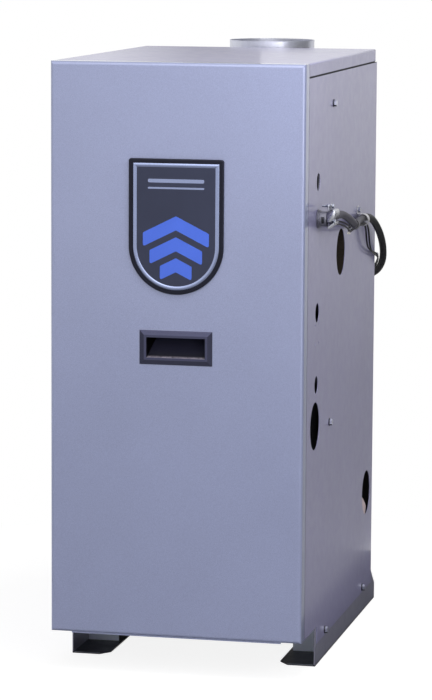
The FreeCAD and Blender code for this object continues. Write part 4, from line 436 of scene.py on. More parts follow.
FINISHES = {finish.name: finish for finish in (
    metallic_paint("door_paint", tone(149, 156, 190), coat=1.0, coat_roughness=0.09),
    metallic_paint("cabinet_paint", tone(151, 149, 186), seams=True),
    metallic_paint("control_paint", tone(128, 132, 140), flake=0.08, coat=0.2),
    rail_paint("rail_paint", tone(134, 134, 152)),
    pull_plastic("pull_plastic"),
    moulded_plastic("badge_rim", tone(27, 28, 41), 0.3, specular=0.14),
    moulded_plastic("badge_plate", tone(54, 58, 78), 0.4, grain_scale=1200, contrast=0.06, specular=0.2),
    moulded_plastic("badge_blue", tone(78, 112, 222), 0.38, grain_scale=1200, contrast=0.05),
    moulded_plastic("control_plastic", tone(40, 41, 45), 0.45),
    moulded_plastic("reset_red", tone(176, 30, 28), 0.35),
    moulded_plastic("plug_nylon", tone(226, 222, 208), 0.45),
    bare_metal("badge_silver", tone(150, 160, 194), 0.22, scale=25, depth=0.00001, contrast=0.04),
    bare_metal("clip_metal", tone(188, 188, 192), 0.5, scale=200, contrast=0.08),
    bare_metal("zinc_steel", tone(168, 172, 184), 0.22),
    bare_metal("screw_zinc", tone(214, 217, 230), 0.3, shaded_washers=True),
    bare_metal("zinc_casting", tone(186, 188, 196), 0.26, scale=90, depth=0.0005, contrast=0.2),
    bare_metal("zinc_dull", tone(130, 130, 140), 0.5, scale=90, depth=0.0005, contrast=0.22),
    bare_metal("plain_steel", tone(150, 151, 154), 0.42, scale=140),
    bare_metal("burner_steel", tone(164, 158, 150), 0.36, scale=60, stretch=(1.0, 0.2, 1.0),
               depth=0.0004, contrast=0.25),
    bare_metal("brass", tone(196, 160, 92), 0.28),
    bare_metal("pilot_aluminium", tone(192, 193, 196), 0.34, scale=300, stretch=(0.4, 0.4, 1.0)),
    bare_metal("valve_casting", tone(158, 160, 164), 0.5, scale=420, depth=0.0008, contrast=0.2),
    galvanised_sheet("galvanised", tone(204, 206, 219)),
    galvanised_sheet("shaded_zinc", tone(204, 206, 219), inner_shade=True),
    cast_iron("iron", tone(74, 73, 76)),
    # The glass fibre's tone is darkened as painted shade, for the dark inside seen through the holes
    fibre_board("glass_fibre", tone(46, 41, 36)),
    fibre_board("ceramic_board", tone(222, 216, 204)),
    fibre_board("lining_fibre", tone(196, 180, 182)),
    cord_sheath("harness_sheath", tone(68, 67, 77), tone(12, 12, 16), start=0.0, end=0.07, roughness=0.5),
    cord_sheath("lead_sheath", tone(31, 31, 37), tone(18, 18, 23), start=-0.2, end=0.1, roughness=0.4),
)}


def dress(item, slot):
    """Give every material slot of an object one finish."""
    finish = FINISHES[slot].material
    if not item.material_slots:
        item.data.materials.append(finish)
    for holder in item.material_slots:
        holder.material = finish


# Camera

def aim_camera():
    turn = (Matrix.Rotation(math.radians(CAMERA_YAW), 3, "Z")
            @ Matrix.Rotation(math.radians(CAMERA_PITCH), 3, "X")
            @ Matrix.Rotation(math.radians(CAMERA_ROLL), 3, "Y"))
    right, forward, up = (turn.col[i].copy() for i in range(3))
    facing = Matrix((right, up, -forward)).transposed()
    data = bpy.data.cameras.new("camera")
    data.sensor_width = CAMERA_SENSOR
    data.lens = CAMERA_LENS
    camera = bpy.data.objects.new("camera", data)
    camera.matrix_world = Matrix.Translation(CAMERA_PLACE) @ facing.to_4x4()
    SCENE.collection.objects.link(camera)
    SCENE.camera = camera


aim_camera()


# Cords

def cord(name, route, diameter, slot, node):
    """A bevelled NURBS curve along a route, in place of a CAD tube."""
    data = bpy.data.curves.new(name, "CURVE")
    data.dimensions = "3D"
    spline = data.splines.new("NURBS")
    spline.points.add(len(route) - 1)
    for point, place in zip(spline.points, route):
        point.co = (*place, 1.0)
    spline.order_u = 3
    spline.use_endpoint_u = True
    spline.resolution_u = 10
    data.bevel_depth = diameter / 2
    data.bevel_resolution = 5
    data.use_fill_caps = True
    item = bpy.data.objects.new(name, data)
    SCENE.collection.objects.link(item)
    dress(item, slot)
    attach(item, "cabinet")
    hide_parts(node)
    return item


harness = cord("harness_cable", HARNESS_ROUTE, HARNESS_DIAMETER, "harness_sheath", "damper_harness")
upper_lead = cord("upper_lead_wire", UPPER_LEAD_ROUTE, LEAD_DIAMETER, "lead_sheath", "upper_lead")
lower_lead = cord("lower_lead_wire", LOWER_LEAD_ROUTE, LEAD_DIAMETER, "lead_sheath", "lower_lead")


# Mesh helpers

SMOOTH_ANGLE = math.radians(35)
CORNER_LIMIT = 0.48
WELD_REACH = 0.00002
STRAP_RIM = 0.0003
FINE_CHAMFER = 0.0001


def add_piece(name, builder, slot, body="cabinet", replaced=()):
    """Link a finished bmesh as a piece that rides on a body and stands for CAD nodes."""
    builder.normal_update()
    bmesh.ops.recalc_face_normals(builder, faces=builder.faces)
    mesh = bpy.data.meshes.new(name)
    builder.to_mesh(mesh)
    builder.free()
    mesh.polygons.foreach_set("use_smooth", [True] * len(mesh.polygons))
    mesh.set_sharp_from_angle(angle=SMOOTH_ANGLE)
    item = bpy.data.objects.new(name, mesh)
    SCENE.collection.objects.link(item)
    dress(item, slot)
    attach(item, body)
    if replaced:
        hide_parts(*replaced)
    return item


def soften(item, width, angle=30):
    """Round the hard edges of an object, joining its split corners first."""
    weld = item.modifiers.new("weld", "WELD")
    weld.merge_threshold = WELD_REACH
    edges = item.modifiers.new("edges", "BEVEL")
    edges.width = width
    edges.segments = 2
    edges.limit_method = "ANGLE"
    edges.angle_limit = math.radians(angle)


def front_plane(across, height, depth):
    """Outline coordinates on the front, extruded in depth."""
    return (across, depth, height)


def side_plane(depth, height, across):
    """Outline coordinates on a side, extruded across."""
    return (across, depth, height)


def ground_plane(across, depth, height):
    """Outline coordinates on the ground, at a height."""
    return (across, depth, height)


def arc(centre, radius, first, last, steps):
    """Flat points from one angle to another (degrees) round a centre, both ends included."""
    points = []
    for step in range(steps + 1):
        angle = math.radians(first + (last - first) * step / steps)
        points.append(Vector((centre[0] + radius * math.cos(angle), centre[1] + radius * math.sin(angle))))
    return points


def circle(centre, radius, steps):
    return arc(centre, radius, 0, 360, steps)[:-1]


def rounded(outline, radius, steps=5):
    """A flat outline with each corner turned into a short arc."""
    result = []
    count = len(outline)
    for index, corner in enumerate(outline):
        corner = Vector(corner)
        before = Vector(outline[index - 1]) - corner
        after = Vector(outline[(index + 1) % count]) - corner
        reach = min(radius / math.tan(before.angle(after) / 2), before.length * CORNER_LIMIT,
                    after.length * CORNER_LIMIT)
        start = corner + before.normalized() * reach
        end = corner + after.normalized() * reach
        for step in range(steps + 1):
            share = step / steps
            result.append(start.lerp(corner, share).lerp(corner.lerp(end, share), share))
    return result


def bar(low_u, high_u, low_v, high_v, corner=0.0):
    """A rectangle's outline, with round corners where a radius is given."""
    outline = [(low_u, low_v), (high_u, low_v), (high_u, high_v), (low_u, high_v)]
    return rounded(outline, corner) if corner else outline


def shrunk(outline, inset):
    """An outline moved inwards along its corner normals (outline turns anticlockwise)."""
    result = []
    count = len(outline)
    for index, point in enumerate(outline):
        along = (outline[(index + 1) % count] - outline[index - 1]).normalized()
        result.append(point + Vector((-along.y, along.x)) * inset)
    return result


def join_rings(builder, rings, closed=True):
    """Quads between rings of equal length."""
    for low, high in zip(rings, rings[1:]):
        count = len(low)
        for index in range(count if closed else count - 1):
            following = (index + 1) % count
            builder.faces.new((low[index], low[following], high[following], high[index]))


def loft(builder, levels, place=front_plane):
    """A closed form through flat outlines, each given with its level."""
    rings = []
    for outline, level in levels:
        rings.append([builder.verts.new(place(u, v, level)) for u, v in outline])
    join_rings(builder, rings)
    builder.faces.new(rings[0])
    builder.faces.new(rings[-1])


def prism(builder, outline, low, high, chamfer, place=front_plane):
    """A flat outline carried from one level to another, with chamfered rims."""
    outline = [Vector(point) for point in outline]
    inner = shrunk(outline, chamfer)
    loft(builder, [(inner, low), (outline, low + chamfer), (outline, high - chamfer), (inner, high)], place)


def lathe(builder, profile, centre, place=front_plane, segments=20):
    """A turned form: (level, radius) pairs round a centre line."""
    loft(builder, [(circle(centre, radius, segments), level) for level, radius in profile], place)


def domed(builder, outline, levels, corner):
    """A front outline with round corners, drawn in at each level by its inset."""
    outline = rounded(outline, corner)
    loft(builder, [(shrunk(outline, inset), level) for level, inset in levels])


def plates(name, slot, outlines, low, high, chamfer, body="cabinet", place=front_plane):
    """A piece made of flat plates that share their levels."""
    builder = bmesh.new()
    for outline in outlines:
        prism(builder, outline, low, high, chamfer, place)
    return add_piece(name, builder, slot, body)


def strip(name, path, low, high, thickness, slot, replaced=()):
    """A bent strap: a path across and up, carried in depth, thickened and with softened edges."""
    builder = bmesh.new()
    rows = [[builder.verts.new((x, depth, z)) for x, z in path] for depth in (low, (low + high) / 2, high)]
    join_rings(builder, rows, closed=False)
    item = add_piece(name, builder, slot, replaced=replaced)
    solid = item.modifiers.new("thickness", "SOLIDIFY")
    solid.thickness = thickness
    solid.offset = 0.0
    soften(item, STRAP_RIM)
    return item


# Badge: silver stripe inside the rim, two plain rules and three rising chevrons

BADGE_HALF_WIDTH = 0.0775
BADGE_TOP = 0.8416
BADGE_FOOT = 0.6248
BADGE_CORNER = 0.004
BADGE_LEAST_CORNER = 0.001
BADGE_FACE = -0.4144
STRIPE_OUTER = 0.007
STRIPE_INNER = 0.0132
STRIPE_RISE = 0.0009
STRIPE_BEVEL = 0.0021
PAD_RISE = 0.0003
CHEVRONS = [(0.026, 0.648), (0.043, 0.673), (0.054, 0.701)]
CHEVRON_BAND = 0.0225
CHEVRON_SLOPE = 0.5
CHEVRON_CORNER = 0.003
RULE_HALF_WIDTH = 0.046
RULE_BANDS = [(0.8035, 0.8095), (0.7935, 0.7965)]
RULE_ROUNDING = 0.45


def shield(inset):
    """The badge's outline, squared at the top and half round at the foot, turning anticlockwise."""
    half = BADGE_HALF_WIDTH - inset
    corner = max(BADGE_CORNER - inset, BADGE_LEAST_CORNER)
    shoulder = BADGE_TOP - inset - corner
    points = arc((0.0, BADGE_FOOT + BADGE_HALF_WIDTH), half, 180, 360, steps=48)
    points += arc((half - corner, shoulder), corner, 0, 90, steps=4)
    points += arc((corner - half, shoulder), corner, 90, 180, steps=4)
    return points


def build_badge_art():
    builder = bmesh.new()
    foot = BADGE_FACE - FINE_CHAMFER
    top = BADGE_FACE - STRIPE_RISE
    rings = []
    for inset, depth in ((STRIPE_OUTER, BADGE_FACE), (STRIPE_OUTER, foot),
                         (STRIPE_OUTER + STRIPE_BEVEL, top), (STRIPE_INNER - STRIPE_BEVEL, top),
                         (STRIPE_INNER, foot), (STRIPE_INNER, BADGE_FACE)):
        rings.append([builder.verts.new(front_plane(u, v, depth)) for u, v in shield(inset)])
    join_rings(builder, rings + rings[:1])
    for low, high in RULE_BANDS:
        outline = bar(-RULE_HALF_WIDTH, RULE_HALF_WIDTH, low, high, (high - low) * RULE_ROUNDING)
        prism(builder, outline, BADGE_FACE - PAD_RISE, BADGE_FACE, FINE_CHAMFER)
    add_piece("badge_stripe", builder, "badge_silver", "front_panel_body")

    chevrons = []
    for half, base in CHEVRONS:
        peak = base + half * CHEVRON_SLOPE
        outline = [(-half, base), (0, peak), (half, base), (half, base + CHEVRON_BAND),
                   (0, peak + CHEVRON_BAND), (-half, base + CHEVRON_BAND)]
        chevrons.append(rounded(outline, CHEVRON_CORNER))
    plates("badge_chevrons", "badge_blue", chevrons, BADGE_FACE - PAD_RISE, BADGE_FACE, FINE_CHAMFER,
           "front_panel_body")


build_badge_art()


# Cable connector: stepped barrel with a window, a tilted saddle above a lip, and two clamp screws

CONNECTOR_DEPTH = -0.304
CABLE_AXIS = (0.233, 0.745)
BARREL_AXIS = (CONNECTOR_DEPTH, 0.742)
BARREL_PROFILE = [
    (0.2082, 0.0148), (0.2088, 0.0152), (0.21, 0.0152), (0.2104, 0.0146), (0.2108, 0.0134),
    (0.2114, 0.0134), (0.2117, 0.0143), (0.213, 0.0144), (0.2134, 0.0138), (0.2137, 0.0125),
    (0.2146, 0.0124), (0.2224, 0.0124), (0.2238, 0.0122), (0.2247, 0.0112), (0.225, 0.009),
]
WINDOW_SPAN = (0.2146, 0.2224)
WINDOW_HEIGHTS = (0.733, 0.746)
WINDOW_STEPS = [(0.0005, 0.0007), (0.0008, 0.0), (0.0004, -0.0034)]
# A dark plate inside the barrel's window, painted shade in its recess
WINDOW_SHADE_SPAN = (0.2165, 0.2206)
WINDOW_SHADE_RADII = (0.0101, 0.0093)
WINDOW_SHADE_SWING = (168, 222)
WINDOW_SHADE_STEPS = 8
CRADLE_STATIONS = [
    (-0.3172, 0.45), (-0.316, 0.72), (-0.3135, 0.9), (-0.3095, 1.0), (-0.285, 1.0), (-0.2832, 0.97),
]
CRADLE_RADIUS = 0.0112
CRADLE_BORE = 0.0066
CRADLE_STEPS = 16
SADDLE_OUTLINE = [
    (0.2251, 0.7371), (0.2316, 0.7372), (0.2373, 0.7421), (0.2406, 0.748), (0.2413, 0.753),
    (0.24, 0.7576), (0.2349, 0.7598), (0.2323, 0.7533), (0.2259, 0.7421),
]
SADDLE_LEVELS = [
    (-0.3188, 0.0023), (-0.3184, 0.0015), (-0.3172, 0.0008), (-0.3152, 0.0003), (-0.3125, 0.0),
    (-0.2895, 0.0), (-0.2885, 0.0006),
]
LIP_OUTLINE = [
    (0.2262, 0.7276), (0.2283, 0.7266), (0.2389, 0.7344), (0.2389, 0.7382), (0.2362, 0.738),
    (0.2264, 0.731),
]
LIP_LEVELS = [(-0.317, 0.0009), (-0.3163, 0.0003), (-0.3148, 0.0), (-0.283, 0.0), (-0.2822, 0.0005)]
CLAMP_CORNER = 0.0024
CLAMP_CHAMFER = 0.0005
ARM_DEPTHS = (CONNECTOR_DEPTH - 0.006, CONNECTOR_DEPTH + 0.006)
ARM_CORNER = 0.004
ARM_PLATES = [(0.2256, 0.2284, 0.752, 0.7668), (0.23, 0.2318, 0.756, 0.768)]
UPPER_SCREW = (-0.304, 0.763)
LOWER_SCREW = (-0.3085, 0.7388)
CLAMP_SCREWS = [(UPPER_SCREW, 0.2152, 0.2318), (LOWER_SCREW, 0.226, 0.2352)]
NUT_SPAN = (0.2244, 0.2292)
NUT_RADIUS = 0.0044
THREAD_PITCH = 0.0009
THREAD_CREST = 0.00195
THREAD_ROOT = 0.0016
HEAD_RADIUS = 0.004
HEAD_HEIGHT = 0.0034
WASHER_SHAPE = [(-0.0006, 1.1), (-0.0003, 1.15), (0.0, 1.05)]


def shaped(profile, seat, radius):
    """A profile of (step from the seat, share of the radius) pairs at a seat."""
    return [(seat + step, radius * share) for step, share in profile]


def threaded_screw(builder, axis, tail, seat):
    """A screw along x with a threaded shank, a six-sided head and a washer."""
    profile = []
    for turn in range(int((seat - tail) / THREAD_PITCH)):
        start = tail + turn * THREAD_PITCH
        profile += [(start, THREAD_ROOT), (start + THREAD_PITCH / 2, THREAD_CREST)]
    profile.append((seat, THREAD_ROOT))
    lathe(builder, profile, axis, side_plane, segments=14)
    prism(builder, circle(axis, HEAD_RADIUS, 6), seat, seat + HEAD_HEIGHT, CLAMP_CHAMFER, side_plane)
    lathe(builder, shaped(WASHER_SHAPE, seat, HEAD_RADIUS), axis, side_plane, segments=24)


def in_window(face):
    spot = face.calc_center_median()
    return (WINDOW_SPAN[0] < spot.x < WINDOW_SPAN[1] and WINDOW_HEIGHTS[0] < spot.z < WINDOW_HEIGHTS[1]
            and spot.y < CONNECTOR_DEPTH and len(face.verts) == 4)


def build_barrel():
    builder = bmesh.new()
    lathe(builder, BARREL_PROFILE, BARREL_AXIS, side_plane, segments=48)
    window = [face for face in builder.faces if in_window(face)]
    builder.normal_update()
    bmesh.ops.recalc_face_normals(builder, faces=builder.faces)
    for inset, rise in WINDOW_STEPS:
        bmesh.ops.inset_region(builder, faces=window, thickness=inset, depth=rise)
    cradle = []
    for depth, share in CRADLE_STATIONS:
        outer = arc(CABLE_AXIS, CRADLE_RADIUS * share, 90, 270, CRADLE_STEPS)
        cradle.append((outer + arc(CABLE_AXIS, CRADLE_BORE * share, 270, 90, CRADLE_STEPS), depth))
    loft(builder, cradle)
    add_piece("connector_shell", builder, "zinc_dull", replaced=["connector_body"])

    # a dark plate inside the window as painted shade in its recess
    first, last = WINDOW_SHADE_SWING
    window_shade = arc(BARREL_AXIS, WINDOW_SHADE_RADII[0], first, last, WINDOW_SHADE_STEPS)
    window_shade += arc(BARREL_AXIS, WINDOW_SHADE_RADII[1], last, first, WINDOW_SHADE_STEPS)
    plates("connector_window_shade", "control_plastic", [window_shade], *WINDOW_SHADE_SPAN, FINE_CHAMFER, place=side_plane)


def build_clamp():
    builder = bmesh.new()
    domed(builder, SADDLE_OUTLINE, SADDLE_LEVELS, CLAMP_CORNER)
    domed(builder, LIP_OUTLINE, LIP_LEVELS, CLAMP_CORNER)
    for low_x, high_x, low_z, high_z in ARM_PLATES:
        outline = bar(*ARM_DEPTHS, low_z, high_z, ARM_CORNER)
        prism(builder, outline, low_x, high_x, CLAMP_CHAMFER, side_plane)
    add_piece("connector_strap", builder, "zinc_casting", replaced=["connector_saddle"])

    builder = bmesh.new()
    for screw in CLAMP_SCREWS:
        threaded_screw(builder, *screw)
    prism(builder, circle(UPPER_SCREW, NUT_RADIUS, 6), *NUT_SPAN, CLAMP_CHAMFER, side_plane)
    add_piece("clamp_screws", builder, "zinc_steel", replaced=["connector_screws"])


build_barrel()
build_clamp()


# Cable clip: a bent strap that hooks round the harness

CLIP_LEG = [(0.2087, 0.732), (0.2087, 0.726), (0.2087, 0.7215), (0.209, 0.72), (0.2102, 0.719),
            (0.214, 0.7187)]
CLIP_HOOK = arc((0.218, 0.7085), 0.0102, 88, -118, steps=14)
CLIP_DEPTHS = (0.0495, 0.0625)
CLIP_STRAP = 0.0013

strip("clip_strap", CLIP_LEG + CLIP_HOOK, *CLIP_DEPTHS, CLIP_STRAP, "clip_metal", ["cable_clip"])


# Cable tie at the harness's first dip and a marker band on a lead

TIE_ROUND = [((0.2413, 0.7213), 0.00625), ((0.235, 0.7152), 0.0015), ((0.2338, 0.7094), 0.0015)]
TIE_SLACK = 0.0009
TIE_DEPTH = -0.156
TIE_DEPTHS = (TIE_DEPTH - 0.0018, TIE_DEPTH + 0.0018)
TIE_STRAP = 0.001
TIE_HEAD = (0.23, 0.2344, 0.704, 0.7084)
TIE_HEAD_DEPTHS = (TIE_DEPTH - 0.0028, TIE_DEPTH + 0.0028)
TIE_HEAD_CORNER = 0.0006
TIE_HEAD_CHAMFER = 0.0004
BAND_PLACE = (0.2104, 0.247, 0.6302)
BAND_DIRECTION = (-0.06, 0.955, -0.29)
BAND_PROFILE = [(-0.003, 0.0017), (-0.0027, 0.0021), (0.0027, 0.0021), (0.003, 0.0017)]


def build_tie():
    around = []
    for centre, radius in TIE_ROUND:
        around += circle(centre, radius + TIE_SLACK, steps=24)
    loop = [around[index] for index in convex_hull_2d(around)]
    start = loop.index(min(loop, key=lambda point: point.x))
    tie = strip("cable_tie", loop[start:] + loop[:start + 1], *TIE_DEPTHS, TIE_STRAP, "lead_sheath")
    head = plates("cable_tie_head", "plug_nylon", [bar(*TIE_HEAD, TIE_HEAD_CORNER)], *TIE_HEAD_DEPTHS,
                  TIE_HEAD_CHAMFER)
    return [tie, head]


def build_band():
    builder = bmesh.new()
    lathe(builder, BAND_PROFILE, (0.0, 0.0))
    turn = Vector((0, 1, 0)).rotation_difference(Vector(BAND_DIRECTION)).to_matrix()
    bmesh.ops.rotate(builder, verts=builder.verts, cent=(0, 0, 0), matrix=turn)
    bmesh.ops.translate(builder, verts=builder.verts, vec=BAND_PLACE)
    return add_piece("lead_band", builder, "zinc_steel")


tie_pieces = build_tie()
lead_band = build_band()


# Details of the controls behind the door; a seat is how far a detail sinks into its face

SEAT = 0.0005
MARK_SEAT = 0.0002
MARK_RISE = 0.0004
VALVE_FACE = -0.3415
VALVE_COVER = (0.06, 0.122, 0.38, 0.43)
VALVE_COVER_FACE = VALVE_FACE - 0.004
VALVE_COVER_CORNER = 0.007
VALVE_COVER_CHAMFER = 0.0012
REGULATOR_PLACE = (0.137, 0.405)
REGULATOR_PROFILE = [
    (-0.341, 0.0108), (-0.348, 0.0108), (-0.3488, 0.0102), (-0.3492, 0.0092), (-0.351, 0.009),
    (-0.3515, 0.008),
]
LIMIT_FACE = -0.259
DIAL_CENTRE = (-0.105, 0.71)
SCALE_RADII = (0.0275, 0.0325)
SCALE_STEP = 15
SCALE_REACH = 135
LONG_STEP = 45
LONG_HALF_WIDTH = 0.0007
SHORT_HALF_WIDTH = 0.0004
DIAL_RIDGE = -0.2723
DIAL_MARK = (-0.1056, -0.1044, 0.716, 0.7305)
DIAL_MARK_RISE = 0.0003
MODULE_FACE = -0.229
MODULE_COVER = (-0.161, -0.044, 0.492, 0.576)
MODULE_COVER_RISE = 0.0026
MODULE_COVER_CORNER = 0.005
MODULE_COVER_CHAMFER = 0.001
TERMINAL_STARTS = [-0.15 + 0.0128 * index for index in range(8)]
TERMINAL_WIDTH = 0.0063
TERMINAL_HEIGHTS = (0.484, 0.4848)
TERMINAL_RISE = 0.0075
THIN_CHAMFER = 0.0002
LAMP_PLACE = (-0.058, 0.566)
LAMP_PROFILE = [(-0.231, 0.0022), (-0.2328, 0.0022), (-0.2338, 0.0014)]
CORE_FACE = -0.244
CORE_SPAN = (0.0205, 0.0945)
CORE_STARTS = [0.7006 + 0.0028 * index for index in range(14)]
CORE_SHEET = 0.002
CORE_RISE = 0.0008
JUNCTION_FACE = -0.3542
ACCESS_FACE = -0.173
PARTITION_FACE = -0.189
ROLLOUT_FACE = -0.187


def grid(columns, rows):
    return [(across, height) for across in columns for height in rows]


# Each row of screws: the face they stand on, the heads' radius and their places
SCREW_ROWS = [
    (JUNCTION_FACE, 0.0032, grid([0.1784], [0.713, 0.827])),
    (LIMIT_FACE, 0.003, grid([-0.105], [0.66, 0.76])),
    (ACCESS_FACE, 0.0036, grid([-0.109, 0.109], [0.248, 0.31])),
    (PARTITION_FACE, 0.004, grid([-0.192, 0.192], [0.36, 0.65, 0.94])),
    (ROLLOUT_FACE, 0.002, grid([-0.0995, -0.0805], [0.2695, 0.2885])),
    (VALVE_COVER_FACE, 0.003, grid([0.066, 0.116], [0.386, 0.424])),
]
SCREW_SHAPE = [(0.0003, 1.0), (-0.0009, 1.0), (-0.0016, 0.86), (-0.002, 0.55)]
# Dark bars across the heads, painted shade for each slot
SLOT_SHARE = 0.52
SLOT_HALF_WIDTH = 0.00035
SLOT_LEVELS = (-0.0021, -0.0016)
SLOT_CHAMFER = 0.00005


def build_cover_screws():
    """Round heads on faces towards the front, each with a dark bar across it as painted shade in its slot."""
    heads = bmesh.new()
    slot_shades = bmesh.new()
    for face, radius, places in SCREW_ROWS:
        reach = radius * SLOT_SHARE
        low, high = (face + level for level in SLOT_LEVELS)
        for across, height in places:
            lathe(heads, shaped(SCREW_SHAPE, face, radius), (across, height))
            # a dark bar on the head as painted shade for its slot
            outline = bar(across - reach, across + reach, height - SLOT_HALF_WIDTH, height + SLOT_HALF_WIDTH)
            prism(slot_shades, outline, low, high, SLOT_CHAMFER)
    add_piece("cover_screws", heads, "zinc_steel")
    add_piece("screw_slot_shades", slot_shades, "control_plastic")


def scale_mark(degrees):
    """One mark of the limit control's scale, wider at the long steps."""
    angle = math.radians(degrees)
    along = Vector((math.sin(angle), math.cos(angle)))
    half = SHORT_HALF_WIDTH if degrees % LONG_STEP else LONG_HALF_WIDTH
    aside = Vector((along.y, -along.x)) * half
    inner, outer = (Vector(DIAL_CENTRE) + along * radius for radius in SCALE_RADII)
    return [inner - aside, inner + aside, outer + aside, outer - aside]


def build_control_details():
    builder = bmesh.new()
    outline = bar(*VALVE_COVER, VALVE_COVER_CORNER)
    prism(builder, outline, VALVE_COVER_FACE, VALVE_FACE + SEAT, VALVE_COVER_CHAMFER)
    lathe(builder, REGULATOR_PROFILE, REGULATOR_PLACE, segments=36)
    add_piece("valve_cover", builder, "valve_casting")

    marks = [scale_mark(degrees) for degrees in range(-SCALE_REACH, SCALE_REACH + 1, SCALE_STEP)]
    plates("limit_scale", "plug_nylon", marks, LIMIT_FACE - MARK_RISE, LIMIT_FACE + MARK_SEAT, FINE_CHAMFER)
    plates("dial_mark", "plug_nylon", [bar(*DIAL_MARK)], DIAL_RIDGE - DIAL_MARK_RISE,
           DIAL_RIDGE + MARK_SEAT, FINE_CHAMFER, "limit_dial_body")
    plates("module_cover", "control_plastic", [bar(*MODULE_COVER, MODULE_COVER_CORNER)],
           MODULE_FACE - MODULE_COVER_RISE, MODULE_FACE + SEAT, MODULE_COVER_CHAMFER)
    tabs = [bar(start, start + TERMINAL_WIDTH, *TERMINAL_HEIGHTS) for start in TERMINAL_STARTS]
    plates("module_terminals", "brass", tabs, MODULE_FACE - TERMINAL_RISE, MODULE_FACE + SEAT, THIN_CHAMFER)

    builder = bmesh.new()
    lathe(builder, LAMP_PROFILE, LAMP_PLACE)
    add_piece("module_lamp", builder, "reset_red")

    sheets = [bar(*CORE_SPAN, low, low + CORE_SHEET) for low in CORE_STARTS]
    plates("transformer_sheets", "plain_steel", sheets, CORE_FACE - CORE_RISE, CORE_FACE + SEAT, THIN_CHAMFER)


build_cover_screws()
build_control_details()


# Sheet-metal details of the hood, the collar and the rear panel

COLLAR_CENTRE = (0.0, 0.326)
COLLAR_INNER = 0.0752
COLLAR_OUTER = 0.0764
COLLAR_TOP = 1.0035
RIM_STEPS = 260
RIM_LIP = 0.0022
RIM_RAGGED = 0.0005
RIM_FINE_WAVE = 2.4
RIM_LONG_WAVE = 0.37
RIM_SHIFT = 900
RIM_FOLLOWING = 0.8
HOOD_HALF = 0.125
HOOD_REAR = 0.416
HEM_HEIGHTS = (0.6392, 0.6474)
HEM_RISE = 0.001
HEM_CHAMFER = 0.0004
REAR_HEM_SEAT = 0.0022
REAR_HEM_CORNER = 0.0012
SIDE_HEM_SEAT = 0.0012
SIDE_HEM_CORNER = 0.0008
SIDE_HEM_DEPTHS = (0.2358, 0.415)
LAP_RISE = 0.0009
LAP_SEAT = 0.0002
LAP_CORNER = 0.002
LAP_CHAMFER = 0.0003
SIDE_LAP_HEIGHTS = (0.649, 0.954)
SIDE_LAP_DEPTHS = (0.401, 0.4155)
TOP_LAP_HALF = 0.124
TOP_LAP_HEIGHTS = (0.94, 0.954)
RIVET_HEIGHTS = [0.672, 0.74, 0.808, 0.876, 0.932]
RIVET_ACROSS = [-0.104, -0.052, 0.0, 0.052, 0.104]
RIVET_SHAPE = [(-0.0003, 1.0), (0.0005, 0.96), (0.001, 0.74), (0.0013, 0.36)]
RIVET_RADIUS = 0.0026
RIVET_SEGMENTS = 18
REAR_FACE = 0.2338
BEAD_HALF = 0.006
BEAD_LEVELS = (REAR_FACE - 0.003, REAR_FACE + 0.0022)
BEAD_CHAMFER = 0.0019
BEAD_CORNER = BEAD_HALF * 0.98
UPRIGHT_BEADS = [(-0.172, 0.19, 0.9), (0.172, 0.19, 0.9)]
LEVEL_BEADS = [(0.26, 0.12), (0.42, 0.12), (0.58, 0.12)]


def build_collar_rim():
    """The collar's raw-cut edge, slightly ragged."""
    builder = bmesh.new()
    rings = []
    for radius, lip, follow in ((COLLAR_INNER, RIM_LIP, RIM_FOLLOWING), (COLLAR_INNER, 0.0, 1.0),
                                (COLLAR_OUTER, 0.0, 1.0), (COLLAR_OUTER, RIM_LIP, RIM_FOLLOWING)):
        ring = []
        for step, (x, y) in enumerate(circle(COLLAR_CENTRE, radius, RIM_STEPS)):
            wave = math.sin(step * RIM_FINE_WAVE) * math.sin(step * RIM_LONG_WAVE + radius * RIM_SHIFT)
            ring.append(builder.verts.new((x, y, COLLAR_TOP - lip + RIM_RAGGED * wave * follow)))
        rings.append(ring)
    join_rings(builder, rings + rings[:1])
    add_piece("collar_rim", builder, "galvanised")


